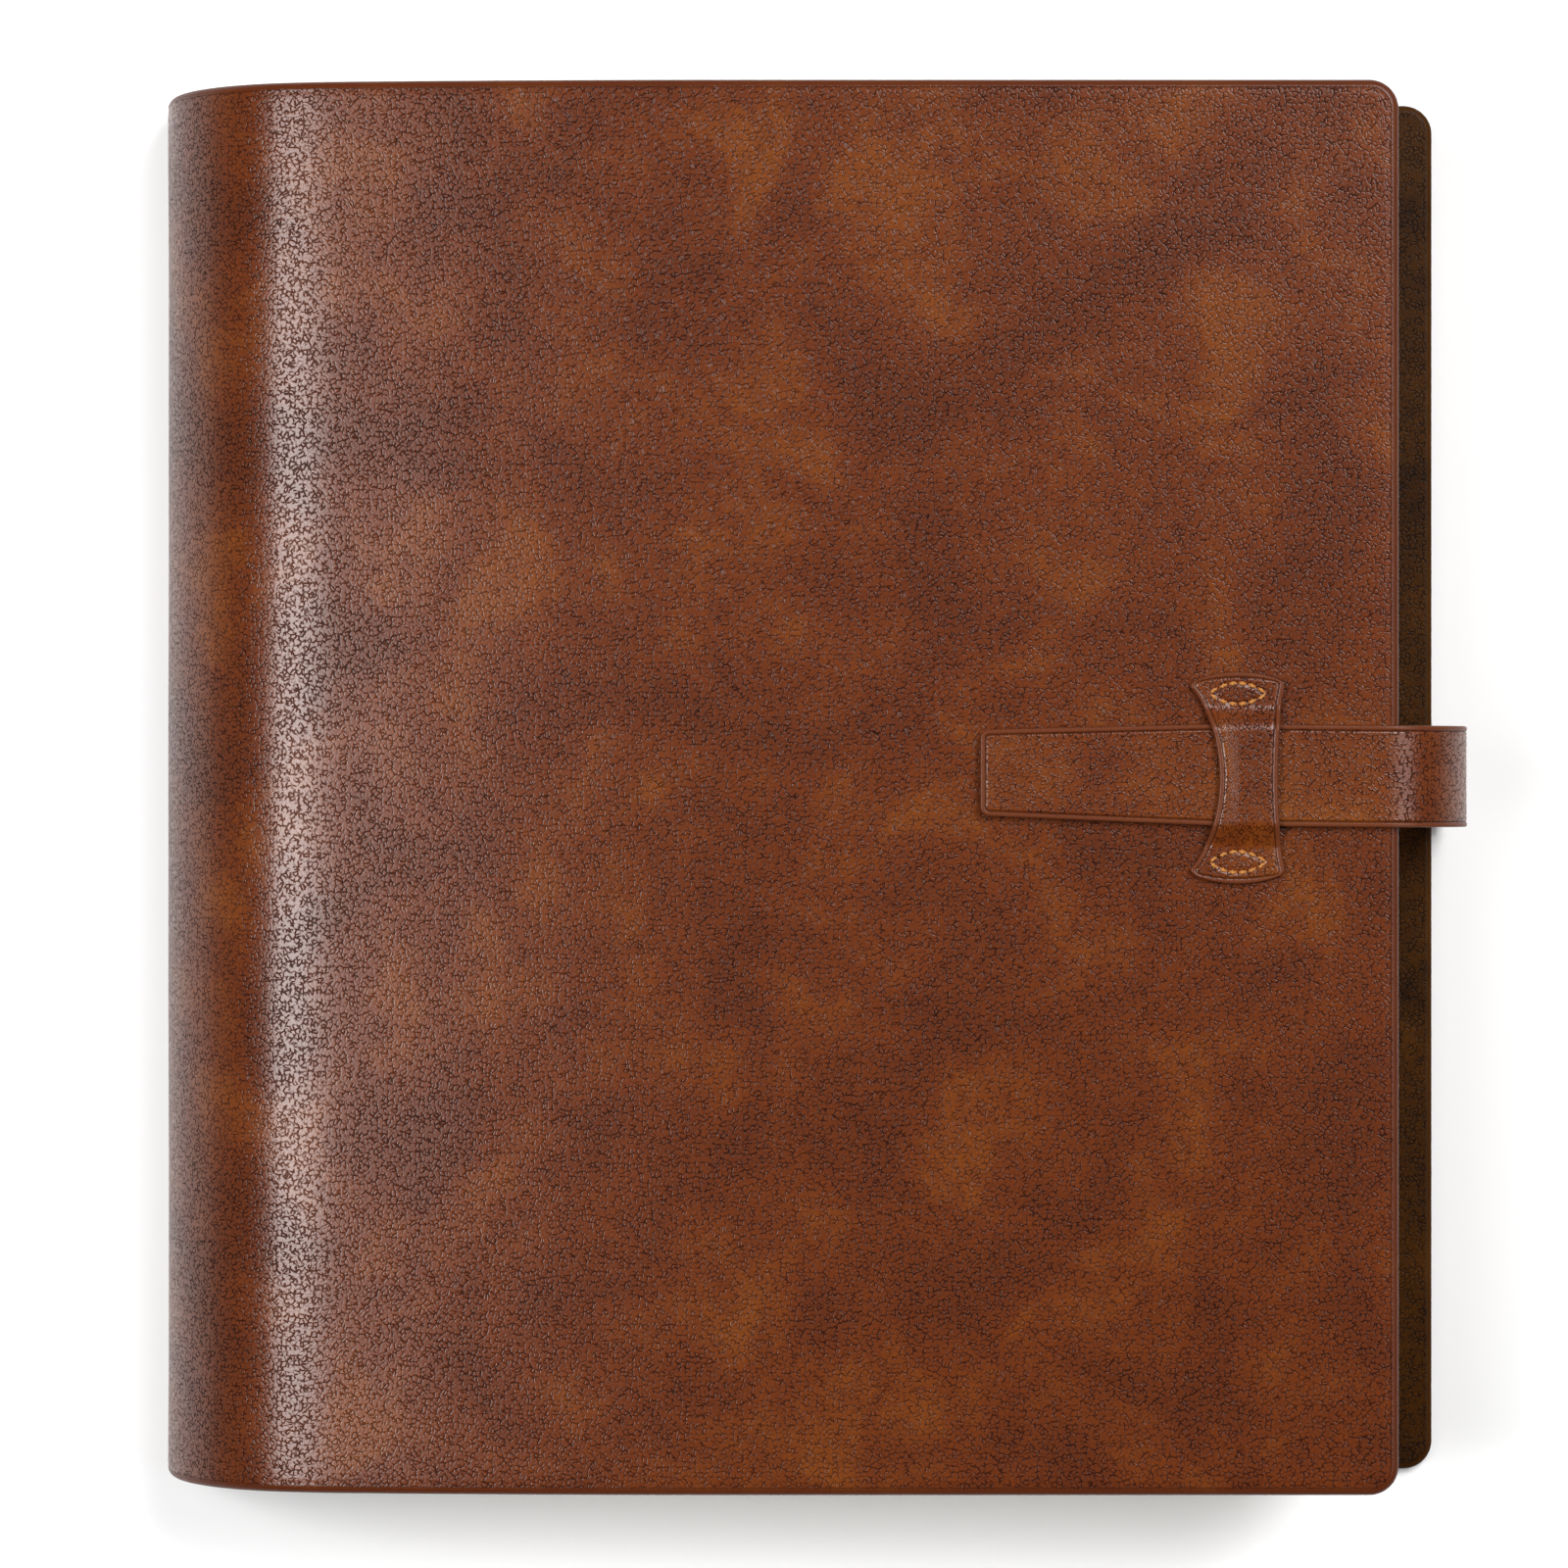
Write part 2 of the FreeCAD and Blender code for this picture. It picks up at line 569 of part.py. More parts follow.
def mechanism_plate():
    """Arched plate with a slot over each ring stem and holes for the lever pins."""
    low = V(RING_X, -PLATE_HALF, PLATE_C.z)
    high = V(RING_X, PLATE_HALF, PLATE_C.z)
    tube = cut(rod(low, high, "Sizes.plate_radius"),
               rod(low - NORTH, high + NORTH, "Sizes.plate_radius - Sizes.plate_thick"))
    reach = size("plate_radius") + 1
    arch = doc.addObject("Part::Common", "arch")
    arch.Base = tube
    arch.Tool = box(V(RING_X - reach, -HALF, COVER), V(RING_X + reach, HALF, TOP))
    slots = []
    half = size("ring_wire") / 2 + size("slot_room")
    long = size("slot_long")
    for y in RING_YS:
        for x in (RING_X - STEM_OUT - size("slot_out"), RING_X + STEM_OUT - size("slot_in")):
            slots.append(box(V(x, y - half, BLADE_Z), V(x + long, y + half, PLATE_TOP + 1)))
    holes = [rod(V(RING_X - 20, y, LEVER_Z), V(RING_X + 20, y, LEVER_Z),
                 "Sizes.pin_radius + 0.05") for y in (-LEVER_Y, LEVER_Y)]
    keep(cut(arch, *slots, *holes), "mechanism_plate")


def rivets():
    """Rivets through the lining and board, from the outer leather up to the blades."""
    top = COVER + size("blade_lift") * 0.7
    pieces = [rod(V(RING_X, y, BOARD_Z), V(RING_X, y, top), "Sizes.rivet_radius")
              for y in rivet_places()]
    keep(group(*pieces), "mounting_rivets")


def blades():
    """Two flat blades side by side under the plate, each carrying half of every ring."""
    half_gap = size("blade_gap")
    spans = {"blade_left": -1, "blade_right": 1}
    for label, side in spans.items():
        near = RING_X + side * half_gap
        far = RING_X + side * (half_gap + size("blade_wide"))
        low = V(min(near, far), -BLADE_HALF, BLADE_Z)
        high = V(max(near, far), BLADE_HALF, BLADE_TOP)
        keep(box(low, high), label)


def half_ring(label, side, y):
    """Half of a ring: a round-wire arc from the top joint down to a stem on its blade."""
    hoop = doc.addObject("Part::Torus", "hoop")
    hoop.Radius1 = RING_R
    hoop.setExpression("Radius2", "Sizes.ring_wire / 2")
    gap = size("ring_joint_gap")
    hoop.Angle3 = 180 - STEM_ANGLE - gap
    # the torus starts at local +X; it is stood up and turned so that it ends at the top
    stand = FreeCAD.Rotation(EAST, 90)
    start = -(90 - STEM_ANGLE) if side > 0 else 90 + gap
    spin = FreeCAD.Rotation(NORTH, -start)
    hoop.Placement = FreeCAD.Placement(RING_C + NORTH * y, spin * stand)
    foot_x = RING_X + side * STEM_OUT
    stem = rod(V(foot_x, y, BLADE_TOP), V(foot_x, y, STEM_TOP), "Sizes.ring_wire / 2")
    elbow = doc.addObject("Part::Sphere", "elbow")
    elbow.setExpression("Radius", "Sizes.ring_wire / 2")
    elbow.Placement.Base = V(foot_x, y, STEM_TOP)
    keep(fuse(hoop, elbow, stem), label)


def rings():
    for number, y in enumerate(RING_YS, start=1):
        half_ring(f"ring_{number}_left", -1, y)
        half_ring(f"ring_{number}_right", 1, y)


def lever(label, side):
    """End lever: a tongue under the arch and a thumb tab standing past the plate."""
    half = size("lever_half")
    thick = size("lever_thick")
    low_z = LEVER_Z - thick / 2
    inner = LEVER_Y - thick
    outer = LEVER_Y + 4 * thick
    tongue_y = sorted([side * inner, side * outer])
    tab_y = sorted([side * (outer - thick), side * outer])
    tongue = box(V(RING_X - half, tongue_y[0], low_z),
                 V(RING_X + half, tongue_y[1], low_z + thick))
    eye = rod(V(RING_X - half, side * LEVER_Y, LEVER_Z),
              V(RING_X + half, side * LEVER_Y, LEVER_Z), "Sizes.pin_radius + 0.6")
    tab = box(V(RING_X - size("tab_half"), tab_y[0], low_z),
              V(RING_X + size("tab_half"), tab_y[1], low_z + size("tab_high")))
    bore = rod(V(RING_X - half - 1, side * LEVER_Y, LEVER_Z),
               V(RING_X + half + 1, side * LEVER_Y, LEVER_Z), "Sizes.pin_radius + 0.1")
    keep(cut(fuse(tongue, eye, tab), bore), label)


def lever_pins():
    reach = math.sqrt(size("plate_radius") ** 2 - (LEVER_Z - PLATE_C.z) ** 2) - 0.4
    pins = [rod(V(RING_X - reach, y, LEVER_Z), V(RING_X + reach, y, LEVER_Z),
                "Sizes.pin_radius") for y in (-LEVER_Y, LEVER_Y)]
    keep(group(*pins), "lever_pins")


# ------------------------------------------------------------------------ leaves

def leaf_solid(index):
    """One punched leaf: level at the rings, sloping down or up to its fore-edge height."""
    thick = size("leaf_thick")
    z_ring = LEAF_FIRST_Z + index * LEAF_PITCH
    z_fore = LEAF_LOW + index * FORE_PITCH
    wire_z = z_ring + thick / 2
    wire_x = math.sqrt(RING_R ** 2 - (wire_z - RING_C.z) ** 2)
    hole_x = RING_X + wire_x + size("hole_play")
    left = hole_x - size("hole_inset")
    right = left + size("leaf_wide")
    slope_from = hole_x + size("leaf_level")
    slope_to = slope_from + size("leaf_slope")
    under = [V(left, 0, z_ring), V(slope_from, 0, z_ring), V(slope_to, 0, z_fore),
             V(right, 0, z_fore)]
    over = [point + UP * thick for point in reversed(under)]
    outline = under + over
    edges = [line(outline[i], outline[(i + 1) % len(outline)]) for i in range(len(outline))]
    leaf = solid_along_y(edges, size("leaf_high") / 2)
    holes = [Part.makeCylinder(HOLE_RADIUS, thick + 2, V(hole_x, y, z_ring - 1))
             for y in RING_YS]
    return leaf.cut(holes)


def leaves():
    """The resting leaves as one group, and the top ones each by itself."""
    turning = int(size("turning_leaves"))
    resting = [leaf_solid(index) for index in range(LEAF_COUNT - turning)]
    keep(feature_from(Part.makeCompound(resting), "resting"), "leaf_stack")
    for number in range(1, turning + 1):
        solid = leaf_solid(LEAF_COUNT - number)
        keep(feature_from(solid, "leaf"), f"leaf_{number}")


# ------------------------------------------------------------------------- build

back_cover()
front_cover()
spine()
strap()
keeper()
eye_stitches("stitches_head", 1)
eye_stitches("stitches_tail", -1)
mechanism_plate()
rivets()
blades()
rings()
lever("lever_tail", -1)
lever("lever_head", 1)
lever_pins()
leaves()
doc.recompute()

for item in doc.Objects:
    if "Invalid" in item.State or "Error" in item.State:
        raise RuntimeError(f"{item.Label} did not build: {item.State}")
for part in sub_parts:
    if part.Shape.isNull() or not part.Shape.isValid():
        raise RuntimeError(f"{part.Label} has no valid shape")
for part in sub_parts:
    part.Shape.exportStep(f"parts/{part.Label}.step")
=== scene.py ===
import json
import math

import bpy
import numpy as np
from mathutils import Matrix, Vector
from mathutils.geometry import delaunay_2d_cdt


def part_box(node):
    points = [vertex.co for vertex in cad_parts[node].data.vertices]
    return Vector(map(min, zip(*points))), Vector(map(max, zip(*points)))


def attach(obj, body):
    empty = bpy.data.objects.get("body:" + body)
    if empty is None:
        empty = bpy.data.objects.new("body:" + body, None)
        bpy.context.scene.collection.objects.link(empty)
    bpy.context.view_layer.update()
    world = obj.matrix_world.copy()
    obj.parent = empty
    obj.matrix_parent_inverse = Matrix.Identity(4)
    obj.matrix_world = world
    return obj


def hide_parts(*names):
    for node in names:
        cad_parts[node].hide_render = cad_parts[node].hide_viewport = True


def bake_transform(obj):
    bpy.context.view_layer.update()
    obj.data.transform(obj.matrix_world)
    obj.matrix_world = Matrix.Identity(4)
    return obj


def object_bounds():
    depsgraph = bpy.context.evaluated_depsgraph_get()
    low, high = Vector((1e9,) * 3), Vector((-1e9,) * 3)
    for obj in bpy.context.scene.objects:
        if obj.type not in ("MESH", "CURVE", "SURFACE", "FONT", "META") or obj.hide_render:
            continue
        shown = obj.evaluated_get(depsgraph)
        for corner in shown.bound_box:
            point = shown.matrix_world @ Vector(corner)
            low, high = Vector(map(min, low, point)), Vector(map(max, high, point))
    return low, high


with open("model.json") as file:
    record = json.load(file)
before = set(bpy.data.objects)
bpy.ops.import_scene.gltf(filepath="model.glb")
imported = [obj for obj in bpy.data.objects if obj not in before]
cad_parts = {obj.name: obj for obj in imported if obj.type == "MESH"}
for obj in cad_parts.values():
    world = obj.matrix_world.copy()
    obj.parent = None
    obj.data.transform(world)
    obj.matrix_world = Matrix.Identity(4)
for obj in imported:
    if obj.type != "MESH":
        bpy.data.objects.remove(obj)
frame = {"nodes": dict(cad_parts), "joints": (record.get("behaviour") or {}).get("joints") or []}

# Leather ring album: one hide wraps the back cover, the round spine and the front cover.
# Everything is in metres, in the album's own frame: spine at -X, head at +Y, Z up.
# Sizes of the leather work are kept in millimetres and turned to metres by MM.

MM = 0.001
cad_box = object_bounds()
NODES = frame["nodes"]
JOINTS = {joint["name"]: joint for joint in frame["joints"]}


def reach(node):
    """Lowest and highest corner of a CAD piece, in millimetres."""
    low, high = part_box(node)
    return np.array(low) / MM, np.array(high) / MM


def pivot(joint):
    """A hinge's place in millimetres."""
    return np.array(JOINTS[joint]["pos_m"]) / MM


# ------------------------------------------------------------- sizes from the frame

BACK_HIGH = reach("back_leather")[1]
FRONT_HIGH = reach("front_leather")[1]
TONGUE_LOW, TONGUE_HIGH = reach("strap_tongue")
KEEPER_LOW, KEEPER_HIGH = reach("keeper")
SPINE_X = reach("spine_wall_leather")[0][0]
TOP_Z = FRONT_HIGH[2]
HALF_HIGH = FRONT_HIGH[1]
BACK_EDGE = BACK_HIGH[0]
FRONT_EDGE = FRONT_HIGH[0]
COVER_THICK = BACK_HIGH[2]

CORNER_R = 6.2          # rounded corners at the fore edge
FOOT_R = 5.5            # spine leaves the back cover
SHOULDER_R = 36.0       # round shoulder of the spine
CROWN_R = 75.0          # spine above the shoulder
WALL_TURN = 16.0        # degrees past upright at the top of the wall
SHOULDER_TURN = 75.0
CROWN_TURN = 85.0

# -------------------------------------------------------------- outline of the hide


def spoke(angle):
    """From an arc's centre to the outside of the spine, degrees past level."""
    return np.array([-math.cos(math.radians(angle)), math.sin(math.radians(angle))])


WALL_TOP = pivot("spine_fold_1")[[0, 2]]
SHOULDER_TOP = pivot("spine_fold_3")[[0, 2]]
CROWN_TOP = pivot("spine_fold_4")[[0, 2]]
WALL_R = (WALL_TOP[1] - FOOT_R) / spoke(WALL_TURN)[1]
BROW_R = (TOP_Z - CROWN_TOP[1]) / (1 - spoke(CROWN_TURN)[1])

# Each arc of the outline is (centre, radius, first angle, last angle), from the back cover on.
FOOT_C = np.array([SPINE_X + FOOT_R, FOOT_R])
WALL_C = np.array([SPINE_X + WALL_R, FOOT_R])
SHOULDER_C = SHOULDER_TOP - SHOULDER_R * spoke(SHOULDER_TURN)
CROWN_C = CROWN_TOP - CROWN_R * spoke(CROWN_TURN)
BROW_C = CROWN_TOP - BROW_R * spoke(CROWN_TURN)
BACK_FLAT = BACK_EDGE - FOOT_C[0]
FRONT_FLAT = FRONT_EDGE - BROW_C[0]
ARCS = [(FOOT_C, FOOT_R, -90.0, 0.0), (WALL_C, WALL_R, 0.0, WALL_TURN),
        (SHOULDER_C, SHOULDER_R, WALL_TURN, SHOULDER_TURN),
        (CROWN_C, CROWN_R, SHOULDER_TURN, CROWN_TURN), (BROW_C, BROW_R, CROWN_TURN, 90.0)]
ARC_LENGTHS = [radius * math.radians(end - start) for _, radius, start, end in ARCS]
MARKS = np.cumsum([0.0, BACK_FLAT] + ARC_LENGTHS + [FRONT_FLAT])
HIDE_LONG = MARKS[-1]


def outside(s):
    """Point (x, z) on the hide's outside and the unit way inwards, s millimetres along it."""
    if s <= MARKS[1]:
        return np.array([BACK_EDGE - s, 0.0]), np.array([0.0, 1.0])
    for number, (centre, radius, start, _) in enumerate(ARCS):
        if s <= MARKS[number + 2]:
            angle = start + math.degrees((s - MARKS[number + 1]) / radius)
            return centre + radius * spoke(angle), -spoke(angle)
    return np.array([BROW_C[0] + s - MARKS[-2], TOP_Z]), np.array([0.0, -1.0])


# ------------------------------------------------------------------- mesh building


def ripple(a, b, seed):
    """Slow unevenness of a flexible sheet, from -1 to 1, as a sum of a few long waves."""
    dice = np.random.default_rng(seed)
    total = np.zeros(np.broadcast(a, b).shape)
    waves = (95.0, 61.0, 37.0, 23.0)
    for wave in waves:
        way = dice.uniform(0, math.tau)
        phase = dice.uniform(0, math.tau)
        total += wave * np.sin((a * math.cos(way) + b * math.sin(way)) * math.tau / wave + phase)
    return total / sum(waves)


def steps_between(low, high, spacing):
    """Even steps from low to high, no further apart than the spacing."""
    count = max(1, int(math.ceil((high - low) / spacing)))
    return list(np.linspace(low, high, count + 1))


class Pad:
    """A closed flat piece with rounded edges, laid out as one grid of rows and columns.

    s runs along the piece and w across it.  rings are the distances from the edge at which
    the rounded border has a line of points, from corner radius down to 0.  Either end may
    be open, where the piece is cut straight and another piece goes on."""

    def __init__(self, columns, half_wide, row_gap, rings, closed_start, closed_end):
        corner = rings[0]
        inner = half_wide - corner
        rows = steps_between(-inner, inner, row_gap)
        lanes = [(row, 0.0) for row in rows]
        shares = [1 - ring / corner for ring in rings[1:]]
        below = [(-inner, -share) for share in reversed(shares)]
        above = [(inner, share) for share in shares]
        across = below + lanes + above
        along = [(column, 0.0) for column in columns]
        if closed_start:
            along = [(columns[0], -share) for share in reversed(shares)] + along
        if closed_end:
            along = along + [(columns[-1], share) for share in shares]
        self.s = np.zeros((len(along), len(across)))
        self.w = np.zeros_like(self.s)
        self.rim = np.zeros_like(self.s)
        for i, (base_s, out_s) in enumerate(along):
            for j, (base_w, out_w) in enumerate(across):
                share = max(abs(out_s), abs(out_w))
                if share == 0:
                    ds = dw = 0.0
                else:
                    lesser = min(abs(out_s), abs(out_w)) / share
                    angle = math.radians(45 * lesser)
                    if abs(out_w) > abs(out_s):
                        angle = math.pi / 2 - angle
                    ds = math.copysign(share * math.cos(angle) * corner, out_s) if out_s else 0.0
                    dw = math.copysign(share * math.sin(angle) * corner, out_w) if out_w else 0.0
                self.s[i, j] = base_s + ds
                self.w[i, j] = base_w + dw
                to_side = half_wide - abs(base_w)
                to_end = 1e3
                if closed_start:
                    to_end = min(to_end, base_s - columns[0] + corner)
                if closed_end:
                    to_end = min(to_end, columns[-1] + corner - base_s)
                self.rim[i, j] = corner * (1 - share) if share else min(to_side, to_end)
        self.closed_start = closed_start
        self.closed_end = closed_end

    def build(self, name, place, top, bottom, splits=None):
        """Make the mesh objects.  place(s, w, depth) gives x, y, z arrays in millimetres;
        top and bottom give the depth of the two faces from the distance to the edge.
        splits cuts the piece into several at those places of s."""
        count_s, count_w = self.s.shape
        faces_of = []
        points = []
        shown = []
        rims = []
        for depth_of in (top, bottom):
            depth = depth_of(self.rim, self.s, self.w)
            x, y, z = place(self.s, self.w, depth)
            points.append(np.stack([x, y, z], -1).reshape(-1, 3))
            shown.append(np.stack([self.s, self.w, depth], -1).reshape(-1, 3))
            rims.append(self.rim.reshape(-1))
        points = np.concatenate(points)
        shown = np.concatenate(shown)
        rims = np.concatenate(rims)
        size = count_s * count_w
        ids = np.arange(size).reshape(count_s, count_w)
        under = ids + size
        edge = np.zeros((count_s, count_w), bool)
        edge[:, 0] = edge[:, -1] = True
        edge[0, :] |= self.closed_start
        edge[-1, :] |= self.closed_end
        under[edge] = ids[edge]
        column_of = []
        for i in range(count_s - 1):
            for j in range(count_w - 1):
                for side, grid in enumerate((ids, under)):
                    quad = [grid[i, j], grid[i + 1, j], grid[i + 1, j + 1], grid[i, j + 1]]
                    if side == 1:
                        quad.reverse()
                    faces_of.append((quad, side))
                    column_of.append(i)
        used = np.unique(np.concatenate([quad for quad, _ in faces_of]))
        renumber = {old: new for new, old in enumerate(used)}
        mesh = bpy.data.meshes.new(name)
        whole = [[renumber[v] for v in quad] for quad, _ in faces_of]
        mesh.from_pydata((points[used] * MM).tolist(), [], whole)
        mesh.update()
        normals = np.zeros(len(used) * 3)
        for index, vertex in enumerate(mesh.vertices):
            normals[index * 3:index * 3 + 3] = vertex.normal
        normals = normals.reshape(-1, 3)
        return self.split(name, mesh, whole, faces_of, column_of, normals,
                          shown[used], rims[used], splits)

    def split(self, name, mesh, whole, faces_of, column_of, normals, shown, rims, splits):
        middle_s = self.s[:, self.s.shape[1] // 2]
        cuts = [-1e9] + list(splits or []) + [1e9]
        co = np.zeros(len(mesh.vertices) * 3)
        mesh.vertices.foreach_get("co", co)
        co = co.reshape(-1, 3)
        made = []
        for number in range(len(cuts) - 1):
            chosen = [k for k, column in enumerate(column_of)
                      if cuts[number] <= (middle_s[column] + middle_s[column + 1]) / 2
                      < cuts[number + 1]]
            ids = np.unique(np.concatenate([whole[k] for k in chosen]))
            renumber = {old: new for new, old in enumerate(ids)}
            label = name if len(cuts) == 2 else f"{name}_{number + 1}"
            piece = bpy.data.meshes.new(label)
            piece.from_pydata(co[ids].tolist(), [],
                              [[renumber[v] for v in whole[k]] for k in chosen])
            piece.polygons.foreach_set("material_index", [faces_of[k][1] for k in chosen])
            piece.shade_smooth()
            piece.normals_split_custom_set_from_vertices(normals[ids].tolist())
            hide = piece.attributes.new("hide_mm", "FLOAT_VECTOR", "POINT")
            hide.data.foreach_set("vector", shown[ids].astype(np.float32).ravel())
            rim = piece.attributes.new("rim_mm", "FLOAT", "POINT")
            rim.data.foreach_set("value", rims[ids].astype(np.float32))
            thing = bpy.data.objects.new(label, piece)
            bpy.context.scene.collection.objects.link(thing)
            made.append(thing)
        return made


def dress(piece, *materials):
    """Put the materials on a piece; a CAD piece keeps its own slots and gets the first."""
    slots = piece.data.materials
    for index in range(len(slots)):
        slots[index] = materials[0]
    for material in materials[len(slots):]:
        slots.append(material)


# ----------------------------------------------------------------- material helpers


def colour(text):
    """Linear RGBA from an sRGB hex value."""
    parts = [int(text[i:i + 2], 16) / 255 for i in (1, 3, 5)]
    linear = [c / 12.92 if c <= 0.04045 else ((c + 0.055) / 1.055) ** 2.4 for c in parts]
    return (*linear, 1.0)


def add(tree, kind, settings=None, links=None):
    """Add a node; settings are its properties or socket values, links are its inputs."""
    made = tree.nodes.new(kind)
    for key, value in (settings or {}).items():
        if isinstance(key, str) and hasattr(made, key):
            setattr(made, key, value)
        else:
            made.inputs[key].default_value = value
    for key, source in (links or {}).items():
        tree.links.new(source, made.inputs[key])
    return made


def blank(name):
    """A new material with its node tree and its shader."""
    material = bpy.data.materials.new(name)
    material.use_nodes = True
    tree = material.node_tree
    shader = tree.nodes["Principled BSDF"]
    return material, tree, shader


FACTOR, RGB_A, RGB_B, RGB_OUT = 0, 6, 7, 2


def tint(tree, factor, first, second):
    """Mix two colours; each may be a socket or a fixed colour."""
    settings = {"data_type": "RGBA", "blend_type": "MIX"}
    links = {}
    for key, value in ((FACTOR, factor), (RGB_A, first), (RGB_B, second)):
        if isinstance(value, bpy.types.NodeSocket):
            links[key] = value
        else:
            settings[key] = value
    return add(tree, "ShaderNodeMix", settings, links).outputs[RGB_OUT]


def ramp(tree, source, low, high, to_low=0.0, to_high=1.0):
    """Ease a value from to_low at low to to_high at high."""
    settings = {1: low, 2: high, 3: to_low, 4: to_high, "interpolation_type": "SMOOTHSTEP"}
    return add(tree, "ShaderNodeMapRange", settings, {0: source}).outputs[0]


def sums(tree, operation, first, second):
    """Arithmetic on two values; each may be a socket or a fixed number."""
    settings, links = {"operation": operation}, {}
    for key, value in ((0, first), (1, second)):
        if isinstance(value, bpy.types.NodeSocket):
            links[key] = value
        else:
            settings[key] = value
    return add(tree, "ShaderNodeMath", settings, links).outputs[0]


def pull_up_leather(name, deep, middle, warm, pore, rim_tone, grain=1.0, rim_wide=1.3,
                    coat=0.62, rim_share=0.8):
    """Waxed pull-up hide: fine pebbled grain, cloudy brown where the wax has moved,
    darker in the creases, and a smooth pressed rim that catches the light."""
    material, tree, shader = blank(name)
    hide = add(tree, "ShaderNodeAttribute", {"attribute_name": "hide_mm"}).outputs["Vector"]
    # hide_mm is in millimetres, so a scale of 1 / size draws a pattern of that size
    wander = add(tree, "ShaderNodeTexNoise", {"Scale": 1 / 1.5, "Detail": 2.0}, {"Vector": hide})
    centred = add(tree, "ShaderNodeVectorMath", {"operation": "SUBTRACT", 1: (0.5, 0.5, 0.5)},
                  {0: wander.outputs["Color"]}).outputs[0]
    bent = add(tree, "ShaderNodeVectorMath", {"operation": "MULTIPLY_ADD", 1: (1.2, 1.2, 0.0)},
               {0: centred, 2: hide}).outputs[0]
    # pebbles of the grain, about a millimetre across, parted by worm-like creases
    cells = add(tree, "ShaderNodeTexVoronoi",
                {"voronoi_dimensions": "2D", "feature": "DISTANCE_TO_EDGE", "Scale": 1 / grain},
                {"Vector": bent}).outputs["Distance"]
    broken = add(tree, "ShaderNodeTexNoise", {"Scale": 1 / 1.25, "Detail": 1.0},
                 {"Vector": hide}).outputs["Fac"]
    # clouds: where the wax has been pushed about, over hand-sized and finger-sized patches
    cloud = add(tree, "ShaderNodeTexNoise",
                {"Scale": 1 / 30, "Detail": 8.0, "Roughness": 0.64, "Distortion": 0.3},
                {"Vector": hide}).outputs["Fac"]
    grit = add(tree, "ShaderNodeTexNoise", {"Scale": 1 / 4.5, "Detail": 4.0, "Roughness": 0.6},
               {"Vector": hide}).outputs["Fac"]
    crease = ramp(tree, cells, 0.02, 0.27, 1.0, 0.0)
    crease = sums(tree, "MULTIPLY", crease, ramp(tree, broken, 0.36, 0.58, 0.18, 1.0))
    body = tint(tree, ramp(tree, cloud, 0.38, 0.52), deep, middle)
    body = tint(tree, ramp(tree, cloud, 0.50, 0.66), body, warm)
    body = tint(tree, ramp(tree, grit, 0.35, 0.72, 0.0, 0.35), body, deep)
    # creases show most where the wax is thick, and thin out over the lighter clouds
    depth = ramp(tree, cloud, 0.36, 0.64, 0.98, 0.72)
    dark = sums(tree, "MULTIPLY", crease, depth)
    height = sums(tree, "SUBTRACT", 1.0, crease)
    distance = add(tree, "ShaderNodeAttribute", {"attribute_name": "rim_mm"}).outputs["Fac"]
    pressed = ramp(tree, distance, rim_wide - 0.25, rim_wide + 0.15, 1.0, 0.0)
    plain = ramp(tree, pressed, 0.0, 1.0, 1.0, 0.12)
    line = sums(tree, "MULTIPLY", ramp(tree, distance, rim_wide - 0.1, rim_wide + 0.15),
                ramp(tree, distance, rim_wide + 0.2, rim_wide + 0.55, 1.0, 0.0))
    body = tint(tree, sums(tree, "MULTIPLY", pressed, rim_share), body, rim_tone)
    dark = sums(tree, "MAXIMUM", sums(tree, "MULTIPLY", dark, plain),
                sums(tree, "MULTIPLY", line, 0.8 * rim_share))
    height = sums(tree, "MULTIPLY", height, plain)
    rough = ramp(tree, grit, 0.3, 0.7, 0.42, 0.52)
    shade = tint(tree, dark, body, pore)
    bump = add(tree, "ShaderNodeBump", {"Strength": 0.5, "Distance": 0.07 * MM},
               {"Height": height})
    for key, value in {"IOR": 1.5, "Coat Roughness": 0.22, "Specular IOR Level": 0.05}.items():
        shader.inputs[key].default_value = value
    # the wax film sits on the pebbles and the rim, and not down in the creases
    film = sums(tree, "MULTIPLY", ramp(tree, pressed, 0.0, 1.0, coat, 0.3 * coat),
                ramp(tree, dark, 0.15, 0.8, 1.0, 0.08))
    tree.links.new(film, shader.inputs["Coat Weight"])
    tree.links.new(shade, shader.inputs["Base Color"])
    tree.links.new(rough, shader.inputs["Roughness"])
    tree.links.new(bump.outputs[0], shader.inputs["Normal"])
    tree.links.new(bump.outputs[0], shader.inputs["Coat Normal"])
    return material


def spun_thread(name):
    """Waxed linen thread, twisted from plies: amber, with dark between the turns."""
    material, tree, shader = blank(name)
    place = add(tree, "ShaderNodeTexCoord").outputs["Object"]
    # fibres about a tenth of a millimetre thick
    fibre = add(tree, "ShaderNodeTexNoise", {"Scale": 9000.0, "Detail": 3.0}, {"Vector": place})
    body = tint(tree, ramp(tree, fibre.outputs["Fac"], 0.35, 0.65),
                colour("#7A3F08"), colour("#C98420"))
    bump = add(tree, "ShaderNodeBump", {"Strength": 0.4, "Distance": 0.04 * MM},
               {"Height": fibre.outputs["Fac"]})
    shader.inputs["Roughness"].default_value = 0.55
    shader.inputs["Sheen Weight"].default_value = 0.25
    tree.links.new(body, shader.inputs["Base Color"])
    tree.links.new(bump.outputs[0], shader.inputs["Normal"])
    return material


